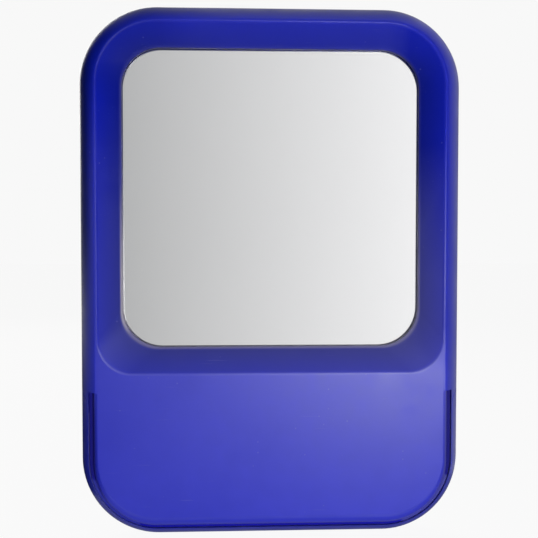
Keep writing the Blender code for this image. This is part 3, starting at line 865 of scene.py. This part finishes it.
def mix_colour(tree, share, first, second):
    """A colour between two, each a socket or a plain colour."""
    pair = [one if isinstance(one, bpy.types.NodeSocket) else (*one, 1) for one in (first, second)]
    made = add(tree, "ShaderNodeMix", {0: share, 6: pair[0], 7: pair[1]}, data_type="RGBA")
    return made.outputs[2]


def bumped(tree, height, strength, distance):
    """The normal of a bumpy surface."""
    made = add(tree, "ShaderNodeBump", {"Strength": strength, "Distance": distance, "Height": height})
    return made.outputs["Normal"]


def shade(tone, share):
    """A colour made darker or paler."""
    return tuple(min(1, share * part) for part in tone)


# Node groups shared by the finishes

def new_group(name, inputs, outputs):
    """An empty group that takes a place and floats and puts out floats, with its inner sockets."""
    group = bpy.data.node_groups.new(name, "ShaderNodeTree")
    group.interface.new_socket("Vector", in_out="INPUT", socket_type="NodeSocketVector")
    for label in inputs:
        group.interface.new_socket(label, in_out="INPUT", socket_type="NodeSocketFloat")
    for label in outputs:
        group.interface.new_socket(label, in_out="OUTPUT", socket_type="NodeSocketFloat")
    return group, group.nodes.new("NodeGroupInput").outputs, group.nodes.new("NodeGroupOutput")


def grain_group():
    """Fine moulded grain: a height for bump, and a slow mottle for colour and gloss."""
    if "moulded_grain" in bpy.data.node_groups:
        return bpy.data.node_groups["moulded_grain"]
    group, given, out = new_group("moulded_grain", ("Grain scale", "Mottle scale"), ("Height", "Mottle"))
    fill(group, out, {
        "Height": noise(group, given["Vector"], given["Grain scale"], 3.0, 0.6),
        "Mottle": noise(group, given["Vector"], given["Mottle scale"], 4.0, 0.55),
    })
    return group


def scratch_group():
    """Sparse hairline scratches, mostly level, broken up by a slow noise."""
    if "fine_scratches" in bpy.data.node_groups:
        return bpy.data.node_groups["fine_scratches"]
    group, given, out = new_group("fine_scratches", ("Scale", "Amount"), ("Mask",))
    lines = []
    for tilt, seed in ((4, 0.0), (-9, 3.7), (62, 8.1)):
        way = add(group, "ShaderNodeMapping", {
            "Vector": given["Vector"],
            "Location": (seed, seed, seed),
            "Rotation": (0, math.radians(tilt), 0),
            "Scale": (0.045, 1, 1),
        })
        streak = noise(group, way.outputs["Vector"], given["Scale"], 1.0)
        lines.append(spread(group, streak, 0, 1, 0.735, 0.80))
    patch = spread(group, noise(group, given["Vector"], 38.0, 2.0), 0, 1, 0.45, 0.62)
    fill(group, out, {"Mask": times(group, most(group, *lines), patch, given["Amount"])})
    return group


def speck_group():
    """Sparse round specks of dust, where a cell's own chance allows one."""
    if "dust_specks" in bpy.data.node_groups:
        return bpy.data.node_groups["dust_specks"]
    group, given, out = new_group("dust_specks", ("Scale", "Share"), ("Mask",))
    cells = add(group, "ShaderNodeTexVoronoi", {"Vector": given["Vector"], "Scale": given["Scale"]})
    chance = add(group, "ShaderNodeSeparateColor", {"Color": cells.outputs["Color"]})
    dot = spread(group, cells.outputs["Distance"], 0, 1, 0.22, 0.10)
    chosen = join(group, "LESS_THAN", chance.outputs["Red"], given["Share"])
    fill(group, out, {"Mask": times(group, dot, chosen)})
    return group


def grain_at(tree, place, grain_scale, mottle_scale):
    """Height and Mottle of the grain group in a material."""
    inputs = {"Vector": place, "Grain scale": grain_scale, "Mottle scale": mottle_scale}
    return add(tree, "ShaderNodeGroup", inputs, node_tree=grain_group()).outputs


def scratches_at(tree, place, scale, amount):
    """Mask of the scratch group in a material."""
    inputs = {"Vector": place, "Scale": scale, "Amount": amount}
    return add(tree, "ShaderNodeGroup", inputs, node_tree=scratch_group()).outputs["Mask"]


def specks_at(tree, place, scale, share):
    """Mask of the speck group in a material."""
    inputs = {"Vector": place, "Scale": scale, "Share": share}
    return add(tree, "ShaderNodeGroup", inputs, node_tree=speck_group()).outputs["Mask"]


# Finishes

def new_finish(name):
    """A material with its tree, shader and Object coordinates."""
    finish = bpy.data.materials.new(name)
    finish.use_nodes = True
    tree = finish.node_tree
    place = tree.nodes.new("ShaderNodeTexCoord").outputs["Object"]
    return finish, tree, tree.nodes["Principled BSDF"], place


def plastic_masks(tree, place):
    """What the moulded blue varies by: place, wear and the slot's mark, dust and painted sheen, marks, and
    areas made out by them.
    """
    across = add(tree, "ShaderNodeSeparateXYZ", {"Vector": place}).outputs
    at = SimpleNamespace(x=across["X"], y=across["Y"], z=across["Z"])
    at.wear = add(tree, "ShaderNodeAttribute", attribute_name="wear").outputs["Fac"]
    at.dust_and_sheen = add(tree, "ShaderNodeAttribute", attribute_name="dust_and_sheen").outputs["Fac"]
    at.grain = grain_at(tree, place, 1400.0, 26.0)
    at.smudges = grain_at(tree, place, 700.0, 110.0)["Mottle"]
    at.scratches = scratches_at(tree, place, 1100.0, 0.4)
    at.specks = specks_at(tree, place, 420.0, 0.03)
    at.hollow = spread(tree, at.wear, 1, 0, -1, 0)
    # Lower part of the frame: more wear there, and the painted light on the panel
    at.handled = spread(tree, at.z, 1, 0.25, 0.32 * HEIGHT, 0.40 * HEIGHT)
    at.topmost = spread(tree, at.z, 0, 1, HEIGHT - 31 * MM, HEIGHT - 21 * MM)
    at.top_band = spread(tree, at.z, 0, 0.5, HEIGHT - 9 * MM, HEIGHT - 3 * MM)
    at.in_dish = spread(tree, at.dust_and_sheen, 0, 1, 0.1, SLOPE_SHEEN)
    at.upper_left = join(tree, "SUBTRACT", at.z, at.x)
    return at


def plastic_base(tree, at):
    """The blue with painted shade by depth: full on the band, deep in the dish, less so at the top and the
    foot.
    """
    size = sizes()
    evened = times(tree, at.topmost, spread(tree, at.x, 0, 0.5, -0.65 * HALF, -0.2 * HALF))
    dish_shade = times(
        tree,
        spread(tree, at.y, 0, 1, FRONT_Y + size.lit_depth, FRONT_Y + size.dish_depth),
        spread(tree, at.z, 0.4, 1, 5 * MM, 14 * MM),
        spread(tree, evened, 1, 0, 0, 1),
    )
    return mix_colour(tree, dish_shade, colours().plastic, colours().plastic_dish_shade)


def plastic_painted_light(tree, at):
    """Share of painted light: on raised faces, most of all on the lower panel, weaker towards the left, in
    slow flow marks and smudges.
    """
    return times(
        tree,
        spread(tree, at.y, 1, 0, FRONT_Y, FRONT_Y + sizes().lit_depth),
        at.handled,
        spread(tree, at.grain["Mottle"], 0.85, 1),
        spread(tree, at.x, 0.65, 1, -HALF, 0),
        spread(tree, at.smudges, 0.85, 1.1),
    )


def plastic_painted_sheen(tree, at):
    """Share of painted sheen on the dish, more at the right and low down."""
    return times(
        tree,
        spread(tree, at.dust_and_sheen, 0, 1, 0, SLOPE_SHEEN),
        spread(tree, at.x, 0.010, 0.092, -HALF, HALF),
        spread(tree, at.z, 1, 0.06, 0.40 * HEIGHT, 0.75 * HEIGHT),
    )


def plastic_lip_dust_and_highlight(tree, at):
    """Share of dust and painted highlight on the lip, most at its left and low down."""
    lip_x = PANE_BOX[0].x + sizes().pane_overlap
    return times(
        tree,
        spread(tree, at.dust_and_sheen, 0, 1, 0.2, 0.8),
        spread(tree, at.z, 1, 0.1, 0.5 * HEIGHT, 0.67 * HEIGHT),
        spread(tree, at.x, 1, 0.36, lip_x, lip_x + 4 * MM),
        spread(tree, at.grain["Mottle"], 0.8, 1),
    )


def plastic_band_shade(tree, at):
    """Share of painted shade on the outer band, at its left and along its top."""
    left = times(
        tree,
        spread(tree, at.x, 0.9, 0, 4 * MM - HALF, 9 * MM - HALF),
        spread(tree, at.z, 0, 1, 0.28 * HEIGHT, 0.55 * HEIGHT),
    )
    return most(tree, left, at.top_band)


def plastic_colour(tree, at):
    """The blue with its painted light, painted sheen, dust with a painted highlight on the lip, wear, marks,
    the slot with its painted shade, and painted shade at the upper left and on the band, one over the other.
    """
    tone = colours()
    rubbed = times(tree, at.wear, spread(tree, at.grain["Mottle"], 0.10, 0.34), at.handled)
    # Painted shade: the slot's blue darkens from its floor up its sides beside the panel
    beside_panel = spread(tree, at.z, 0, 1, 12 * MM, 35 * MM)
    slot_tone = mix_colour(tree, beside_panel, tone.plastic_slot, tone.slot_shade)
    # Painted shade at the frame's upper left
    corner = spread(tree, at.upper_left, 0, 0.45, HEIGHT + 0.35 * HALF, HEIGHT + 0.7 * HALF)
    result = plastic_base(tree, at)
    layers = (
        (plastic_painted_light(tree, at), tone.plastic_lit),
        (plastic_painted_sheen(tree, at), tone.dust_and_sheen),
        (plastic_lip_dust_and_highlight(tree, at), tone.dust_and_sheen),
        (rubbed, tone.scuff),
        (times(tree, at.scratches, 0.35), tone.scuff),
        (times(tree, at.specks, 0.25), tone.scuff),
        (at.hollow, slot_tone),
        (corner, tone.plastic_dark_shade),
        (plastic_band_shade(tree, at), tone.plastic_dark_shade),
    )
    for share, over in layers:
        result = mix_colour(tree, share, result, over)
    return result


def crest_dullness(tree, at):
    """Lost gloss along the crest above the panel: its worn edges, the dish's brink, and its right side."""
    above_panel = spread(tree, at.handled, 1, 0, 0.25, 1)
    worn = times(tree, spread(tree, at.wear, 0, 0.35, 0, 0.35), above_panel)
    brink = times(
        tree,
        spread(tree, at.y, 0, 0.8, FRONT_Y, FRONT_Y + 0.04 * MM),
        spread(tree, at.y, 1, 0, FRONT_Y + 0.2 * MM, FRONT_Y + 0.7 * MM),
        at.in_dish,
        above_panel,
    )
    right = times(
        tree,
        spread(tree, at.y, 0.6, 0, FRONT_Y + 0.02 * MM, FRONT_Y + 0.06 * MM),
        spread(tree, at.x, 0, 1, 0.3 * HALF, 0.6 * HALF),
        above_panel,
    )
    return most(tree, worn, brink, right)


def dish_dullness(tree, at):
    """Lost gloss in the dish: on its upper slope, less at the very top, and on its right slope."""
    middle = times(tree, at.topmost, spread(tree, at.x, 1, 0, 0.6 * HALF, 0.75 * HALF))
    high = times(
        tree,
        spread(tree, at.z, 0, 0.85, 0.62 * HEIGHT, 0.82 * HEIGHT),
        spread(tree, middle, 1, 0.4, 0, 1),
    )
    outer = times(
        tree,
        spread(tree, at.x, 0, 0.6, 0.8 * HALF, 0.9 * HALF),
        spread(tree, at.z, 0, 1, 0.5 * HEIGHT, 0.62 * HEIGHT),
    )
    right = times(
        tree,
        spread(tree, at.x, 0, 1, 0.6 * HALF, 0.72 * HALF),
        spread(tree, at.z, 0, 0.95, 0.59 * HEIGHT, 0.74 * HEIGHT),
    )
    return times(tree, most(tree, high, outer, right), at.in_dish)


def plastic_dullness(tree, at):
    """Where the blue has lost its gloss: crest, dish, slot, the band's right and top, the upper left."""
    return most(
        tree,
        at.hollow,
        crest_dullness(tree, at),
        dish_dullness(tree, at),
        spread(tree, at.x, 0, 0.45, HALF - 4 * MM, HALF - 1 * MM),
        times(tree, at.top_band, 0.8),
        spread(tree, at.upper_left, 0, 0.9, HEIGHT, HEIGHT + 0.6 * HALF),
    )


def plastic_finish():
    """Satin moulded blue: slow flow marks, fine grain, hairline scratches, specks and pale worn edges, with
    painted light on the panel, painted shade in the dish, slot and band, and painted sheen and highlight in
    the dish and on the lip.
    """
    if "blue_moulded_plastic" in bpy.data.materials:
        return bpy.data.materials["blue_moulded_plastic"]
    finish, tree, shader, place = new_finish("blue_moulded_plastic")
    at = plastic_masks(tree, place)
    gloss = times(tree, spread(tree, at.grain["Mottle"], 0.36, 0.44), spread(tree, at.smudges, 0.9, 1.1))
    fill(tree, shader, {
        "Base Color": plastic_colour(tree, at),
        "Specular IOR Level": spread(tree, plastic_dullness(tree, at), 0.5, 0.05, 0, 1),
        "Roughness": join(tree, "ADD", gloss, times(tree, at.scratches, 0.15)),
        "Normal": bumped(tree, at.grain["Height"], 0.10, 0.05 * MM),
    })
    return finish


def cover_finish():
    """Darker blue with the coarse matt grain of a spark-eroded mould."""
    tone = colours()
    finish, tree, shader, place = new_finish("blue_textured_cover")
    grain = grain_at(tree, place, 2200.0, 18.0)
    scratches = scratches_at(tree, place, 700.0, 0.8)
    base = mix_colour(tree, spread(tree, grain["Mottle"], 0, 1), shade(tone.cover, 0.8), tone.cover)
    fill(tree, shader, {
        "Base Color": mix_colour(tree, times(tree, scratches, 0.3), base, tone.scuff),
        "Roughness": spread(tree, grain["Height"], 0.48, 0.62),
        "Normal": bumped(tree, grain["Height"], 0.5, 0.12 * MM),
    })
    return finish


def glass_finish():
    """Clear float glass with the faintest haze of dust."""
    finish, tree, shader, place = new_finish("float_glass")
    fill(tree, shader, {
        "Base Color": (0.985, 0.99, 0.99, 1),
        "Transmission Weight": 1,
        "IOR": 1.5,
        "Specular IOR Level": 0,
        "Roughness": times(tree, specks_at(tree, place, 300.0, 0.02), 0.02),
    })
    return finish


def silver_finish():
    """The silver behind the glass, very slightly uneven."""
    tone = colours().silver
    finish, tree, shader, place = new_finish("mirror_silver")
    mottle = spread(tree, grain_at(tree, place, 300.0, 9.0)["Mottle"], 0, 1)
    fill(tree, shader, {
        "Base Color": mix_colour(tree, mottle, shade(tone, 0.985), tone),
        "Metallic": 1,
        "Roughness": 0.015,
    })
    return finish


def steel_finish():
    """Zinc plate: cloudy and finely scratched."""
    if "zinc_plated_steel" in bpy.data.materials:
        return bpy.data.materials["zinc_plated_steel"]
    tone = colours().steel
    finish, tree, shader, place = new_finish("zinc_plated_steel")
    grain = grain_at(tree, place, 2600.0, 420.0)
    scratches = scratches_at(tree, place, 3000.0, 1.0)
    cloudy = spread(tree, grain["Mottle"], 0.26, 0.42)
    fill(tree, shader, {
        "Base Color": mix_colour(tree, spread(tree, grain["Mottle"], 0, 1), shade(tone, 0.72), tone),
        "Metallic": 1,
        "Roughness": join(tree, "ADD", cloudy, times(tree, scratches, 0.2)),
        "Normal": bumped(tree, grain["Height"], 0.15, 0.03 * MM),
    })
    return finish


def matt_finish(name, tone, light, grain_scale, rough, depth):
    """A dull finish with mottle and grain, for rubber, board, foam and nylon."""
    finish, tree, shader, place = new_finish(name)
    grain = grain_at(tree, place, grain_scale, grain_scale / 9)
    fill(tree, shader, {
        "Base Color": mix_colour(tree, spread(tree, grain["Mottle"], 0, 1), tone, shade(tone, light)),
        "Roughness": spread(tree, grain["Height"], rough - 0.08, rough + 0.05),
        "Normal": bumped(tree, grain["Height"], 0.4, depth),
    })
    return finish


# Pieces

class MIRROR_OT_front_shell(bpy.types.Operator):
    """Build the moulded frame with its dish, lip and lower panel"""

    bl_idname = "table_mirror.front_shell"
    bl_label = "Front shell"

    def execute(self, context):
        finish_piece(shell_object(), plastic_finish(), "frame", ["front_shell"])
        return {"FINISHED"}


class MIRROR_OT_stand(bpy.types.Operator):
    """Build the U-shaped stand that folds round the foot"""

    bl_idname = "table_mirror.stand"
    bl_label = "Stand"

    def execute(self, context):
        finish_piece(stand_object(), plastic_finish(), "stand", ["stand"])
        return {"FINISHED"}


class MIRROR_OT_glass(bpy.types.Operator):
    """Build the pane: clear glass with ground edges, and the silvering behind it"""

    bl_idname = "table_mirror.glass"
    bl_label = "Glass"

    def execute(self, context):
        size = sizes()
        edge = opening_outline(size.pane_overlap)
        front = PANE_BOX[0].y - FRONT_Y
        back = PANE_BOX[1].y - FRONT_Y
        seam = front + size.clear_glass
        inner = opening_outline(size.pane_overlap - 2 * size.small_round)
        glass = as_object("mirror_glass", loft([
            ring(inner, front),
            ring(edge, front, size.small_round / 2),
            ring(edge, seam, size.small_round / 2),
            ring(inner, seam),
        ]))
        finish_piece(glass, glass_finish(), "frame", ["mirror_pane"])
        silver = as_object("mirror_silvering", loft([ring(edge, seam + SILVER_GAP), ring(edge, back)]))
        finish_piece(silver, silver_finish(), "frame", [])
        return {"FINISHED"}


class MIRROR_OT_back_cover(bpy.types.Operator):
    """Build the textured back cover with its countersinks"""

    bl_idname = "table_mirror.back_cover"
    bl_label = "Back cover"

    def execute(self, context):
        size = sizes()
        front = COVER_BOX[0].y - FRONT_Y
        back = COVER_BOX[1].y - FRONT_Y
        sink_radius = size.head_radius + SCREW_GAP
        hole_radius = size.screw_radius + SCREW_GAP
        cover = as_object("moulded_back_cover", loft([
            ring(cover_outline(-2 * size.small_round), front),
            ring(cover_outline(0), front, size.small_round / 2),
            ring(cover_outline(0), back, size.small_round),
            ring(cover_outline(-2 * size.small_round), back),
        ]))
        profile = [
            (0, PAST),
            (sink_radius + SCREW_GAP, PAST),
            (sink_radius + SCREW_GAP, 0),
            (sink_radius, -SCREW_GAP),
            (hole_radius, -size.head_height),
            (hole_radius, -PAST),
            (0, -PAST),
        ]
        steps = [("DIFFERENCE", turned(profile, facing_back(screw_top(name)))) for name in screw_names()]
        carve(cover, steps)
        finish_piece(cover, cover_finish(), "frame", ["back_cover"])
        return {"FINISHED"}


def screw_profile(long):
    """(radius, height) points of a countersunk screw, from the middle of its flat top to its tip."""
    size = sizes()
    return [
        (0, 0),
        (size.head_radius - HEAD_EDGE, 0),
        (size.head_radius, -HEAD_EDGE),
        (size.screw_radius, -size.head_height),
        (size.screw_radius, 2 * size.screw_radius - long),
        (TIP_SHARE * size.screw_radius, -long),
        (0, -long),
    ]


def cross_cut(top, turn):
    """One tapered bar of a screw's cross, turned about the screw by degrees."""
    cut = bmesh.new()
    bmesh.ops.create_cone(
        cut,
        cap_ends=True,
        segments=CROSS_SEGMENTS,
        radius1=CROSS_FOOT,
        radius2=CROSS_TOP,
        depth=CROSS_DEPTH,
        matrix=Matrix.Rotation(math.radians(45), 4, "Z"),
    )
    turned_by = Matrix.Rotation(math.radians(turn + CROSS_TURN), 3, "Z")
    bmesh.ops.scale(cut, vec=CROSS_SHAPE, verts=cut.verts)
    bmesh.ops.translate(cut, vec=(0, 0, -CROSS_SINK), verts=cut.verts)
    bmesh.ops.rotate(cut, verts=cut.verts, matrix=turned_by)
    bmesh.ops.transform(cut, matrix=facing_back(top), verts=cut.verts)
    return cut


class MIRROR_OT_screws(bpy.types.Operator):
    """Build the countersunk cross-head screws of the cover"""

    bl_idname = "table_mirror.screws"
    bl_label = "Screws"

    def execute(self, context):
        for name in screw_names():
            top = screw_top(name)
            profile = screw_profile(top.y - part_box(name)[0].y)
            screw = as_object(f"screw_{name}", turned(profile, facing_back(top)))
            carve(screw, [("DIFFERENCE", cross_cut(top, turn)) for turn in (0, 90)])
            finish_piece(screw, steel_finish(), "frame", [name])
        return {"FINISHED"}


def pad_profile(radius, tall):
    """(radius, height) points of a pad, from the middle of its top round its edge to its foot."""
    steps = 2 * SOFT_STEPS
    points = [(0, tall)]
    for step in range(steps + 1):
        angle = math.radians(90 * step / steps)
        out, up = PAD_ROUND * math.sin(angle), PAD_ROUND * math.cos(angle)
        points.append((radius - PAD_ROUND + out, tall - PAD_ROUND + up))
    return points + [(radius, PAD_FOOT), (radius - PAD_FOOT, 0), (0, 0)]


class MIRROR_OT_pads(bpy.types.Operator):
    """Build the four domed rubber pads on the cover"""

    bl_idname = "table_mirror.pads"
    bl_label = "Pads"

    def execute(self, context):
        rubber = matt_finish(
            "matt_black_rubber", colours().rubber, light=1.5, grain_scale=1600.0, rough=0.78, depth=0.05 * MM,
        )
        for name in node_names("back_pad"):
            low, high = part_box(name)
            profile = pad_profile((high.x - low.x) / 2, high.y - low.y)
            foot = Vector(((low.x + high.x) / 2, low.y, (low.z + high.z) / 2))
            pad = as_object(f"rubber_{name}", turned(profile, facing_back(foot)))
            finish_piece(pad, rubber, "frame", [name])
        return {"FINISHED"}


class MIRROR_OT_inner_pieces(bpy.types.Operator):
    """Dress the pivot pieces, the board and the foam strips"""

    bl_idname = "table_mirror.inner_pieces"
    bl_label = "Inner pieces"

    def execute(self, context):
        tone = colours()
        nylon = matt_finish(
            "black_nylon", tone.nylon, light=1.4, grain_scale=900.0, rough=0.5, depth=0.03 * MM,
        )
        board = matt_finish(
            "grey_board", tone.board, light=1.25, grain_scale=1200.0, rough=0.9, depth=0.08 * MM,
        )
        foam = matt_finish(
            "charcoal_foam", tone.foam, light=1.7, grain_scale=1800.0, rough=0.93, depth=0.25 * MM,
        )
        finishes = (
            ("pivot_pin", steel_finish()),
            ("pin_clip", steel_finish()),
            ("friction_washer", nylon),
            ("backing_board", board),
            ("foam_strip", foam),
        )
        for start, finish in finishes:
            for name in node_names(start):
                dress_node(name, finish)
        return {"FINISHED"}


# Stage

def shown_rays(tree):
    """One for camera, glossy and transmission rays, which see the backdrop, and zero for the rest."""
    path = tree.nodes.new("ShaderNodeLightPath").outputs
    return most(tree, path["Is Camera Ray"], path["Is Glossy Ray"], path["Is Transmission Ray"])


def set_world(studio):
    """A pale backdrop for the eye, and a dimmer even light for the object."""
    world = bpy.data.worlds.new("studio")
    bpy.context.scene.world = world
    world.use_nodes = True
    tree = world.node_tree
    tree.nodes.clear()
    seen = add(tree, "ShaderNodeBackground", {"Color": (*studio.backdrop, 1), "Strength": 1.0})
    light = add(tree, "ShaderNodeBackground", {"Color": (1, 1, 1, 1), "Strength": studio.ambient})
    mixed = add(tree, "ShaderNodeMixShader", {
        0: shown_rays(tree), 1: light.outputs["Background"], 2: seen.outputs["Background"],
    })
    add(tree, "ShaderNodeOutputWorld", {"Surface": mixed.outputs["Shader"]})


def flat_sheet(name, extent, place, finish):
    """A flat stage sheet with its finish, put in place by a matrix."""
    bm = bmesh.new()
    bmesh.ops.create_grid(bm, x_segments=1, y_segments=1, size=0.5)
    bmesh.ops.scale(bm, vec=(*extent, 1), verts=bm.verts)
    bmesh.ops.transform(bm, matrix=place, verts=bm.verts)
    sheet = as_object(name, bm)
    sheet.data.materials.append(finish)
    return sheet


def set_floor(studio):
    """A pale floor that runs into the backdrop and keeps a soft shadow."""
    finish, tree, shader, _ = new_finish("pale_floor")
    fill(tree, shader, {"Base Color": (*studio.backdrop, 1), "Roughness": 0.9, "Specular IOR Level": 0.0})
    seen = add(tree, "ShaderNodeEmission", {"Color": (1, 1, 1, 1), "Strength": 1.0})
    share = times(tree, shown_rays(tree), FLOOR_GLOW)
    mixed = add(tree, "ShaderNodeMixShader", {
        0: share, 1: shader.outputs["BSDF"], 2: seen.outputs["Emission"],
    })
    fill(tree, tree.nodes["Material Output"], {"Surface": mixed.outputs["Shader"]})
    flat_sheet("floor", (FLOOR_SIDE, FLOOR_SIDE), Matrix.Identity(4), finish)


def show_plain(tree, tone):
    """Lets a stage sheet show a colour just as it is."""
    glow = add(tree, "ShaderNodeEmission", {"Color": tone, "Strength": 1.0})
    fill(tree, tree.nodes["Material Output"], {"Surface": glow.outputs["Emission"]})


def set_card(studio):
    """The card behind the camera that the glass shows, darker at its left."""
    finish, tree, _, place = new_finish("card_fade")
    across = add(tree, "ShaderNodeSeparateXYZ", {"Vector": place})
    share = spread(tree, across.outputs["X"], 0, 1, *CARD_FADE)
    show_plain(tree, mix_colour(tree, share, studio.card_left, studio.card_right))
    upright = Matrix.Translation(CARD_PLACE) @ Matrix.Rotation(math.radians(90), 4, "X")
    card = flat_sheet("reflection_card", CARD_SIZE, upright, finish)
    card.visible_camera = False
    card.visible_shadow = False
    card.visible_diffuse = False


def set_flags():
    """Flags round the object that only gloss shows, so that the dish keeps its deep colour; the two on the
    floor are painted shadow under and beside the object.
    """
    for name, light, extent, middle, axis, turn in FLAGS:
        finish, tree, _, place = new_finish(name + "_cloth")
        uneven = noise(tree, place, 2.0, 2.0)
        show_plain(tree, mix_colour(tree, uneven, (0.7 * light,) * 3, (1.3 * light,) * 3))
        turned_by = Matrix.Rotation(math.radians(turn), 4, axis)
        flag = flat_sheet(name, extent, Matrix.Translation(middle) @ turned_by, finish)
        flag.visible_camera = False
        flag.visible_diffuse = False
        flag.visible_transmission = False
        flag.visible_shadow = False


def area_lamp(name, place, side, watts, beam=180):
    """A square area lamp aimed at the mirror, which the glass doesn't show, with its beam in degrees."""
    data = bpy.data.lights.new(name, "AREA")
    data.size = side
    data.spread = math.radians(beam)
    data.energy = watts
    lamp = bpy.data.objects.new(name, data)
    way = Vector((0, 0, HEIGHT / 2)) - Vector(place)
    lamp.location = place
    lamp.rotation_euler = way.to_track_quat("-Z", "Y").to_euler()
    lamp.visible_transmission = False
    lamp.visible_camera = False
    bpy.context.scene.collection.objects.link(lamp)


def set_camera(studio):
    """A camera at the photograph's angle, aimed at the middle of the frame's front."""
    data = bpy.data.cameras.new("camera")
    data.sensor_width = SENSOR_WIDTH
    data.lens = studio.lens
    data.clip_start = CLIP_START
    camera = bpy.data.objects.new("camera", data)
    middle = Vector((0, FRONT_Y, HEIGHT / 2))
    aim = middle + Vector((studio.aim_x, 0, studio.aim_rise))
    camera.location = middle + Vector((studio.camera_x, -studio.camera_distance, studio.camera_rise))
    camera.rotation_euler = (aim - camera.location).to_track_quat("-Z", "Y").to_euler()
    bpy.context.scene.collection.objects.link(camera)
    bpy.context.scene.camera = camera


class MIRROR_OT_stage(bpy.types.Operator):
    """Set the floor, the backdrop, the lamps and the camera"""

    bl_idname = "table_mirror.stage"
    bl_label = "Stage"

    def execute(self, context):
        studio = context.scene.mirror_studio
        context.scene.view_settings.view_transform = "Standard"
        set_world(studio)
        set_floor(studio)
        set_card(studio)
        set_flags()
        area_lamp("key", KEY_PLACE, KEY_SIZE, studio.key_power)
        area_lamp("fill", FILL_PLACE, FILL_SIZE, studio.fill_power)
        area_lamp("back", BACK_PLACE, BACK_SIZE, studio.back_power, BACK_BEAM)
        set_camera(studio)
        return {"FINISHED"}


OPERATORS = (
    MIRROR_OT_front_shell,
    MIRROR_OT_stand,
    MIRROR_OT_glass,
    MIRROR_OT_back_cover,
    MIRROR_OT_screws,
    MIRROR_OT_pads,
    MIRROR_OT_inner_pieces,
    MIRROR_OT_stage,
)


class MIRROR_PT_sidebar(bpy.types.Panel):
    """Lists the steps and the settings of the table mirror"""

    bl_idname = "MIRROR_PT_sidebar"
    bl_label = "Table mirror"
    bl_space_type = "VIEW_3D"
    bl_region_type = "UI"
    bl_category = "Mirror"

    def draw(self, context):
        for operator in OPERATORS:
            self.layout.operator(operator.bl_idname)
        for group in (context.scene.mirror_sizes, context.scene.mirror_colours, context.scene.mirror_studio):
            for name in group.bl_rna.properties.keys():
                if name not in ("rna_type", "name"):
                    self.layout.prop(group, name)


CLASSES = (MirrorSizes, MirrorColours, StudioSettings, *OPERATORS, MIRROR_PT_sidebar)


def register():
    """Adds the classes and the scene's settings."""
    for item in CLASSES:
        bpy.utils.register_class(item)
    bpy.types.Scene.mirror_sizes = PointerProperty(type=MirrorSizes)
    bpy.types.Scene.mirror_colours = PointerProperty(type=MirrorColours)
    bpy.types.Scene.mirror_studio = PointerProperty(type=StudioSettings)


def unregister():
    """Takes the settings and the classes away again."""
    del bpy.types.Scene.mirror_studio
    del bpy.types.Scene.mirror_colours
    del bpy.types.Scene.mirror_sizes
    for item in reversed(CLASSES):
        bpy.utils.unregister_class(item)


def main():
    """Builds every piece and the stage."""
    register()
    bpy.ops.table_mirror.front_shell()
    bpy.ops.table_mirror.stand()
    bpy.ops.table_mirror.glass()
    bpy.ops.table_mirror.back_cover()
    bpy.ops.table_mirror.screws()
    bpy.ops.table_mirror.pads()
    bpy.ops.table_mirror.inner_pieces()
    bpy.ops.table_mirror.stage()


if __name__ == "__main__":
    main()
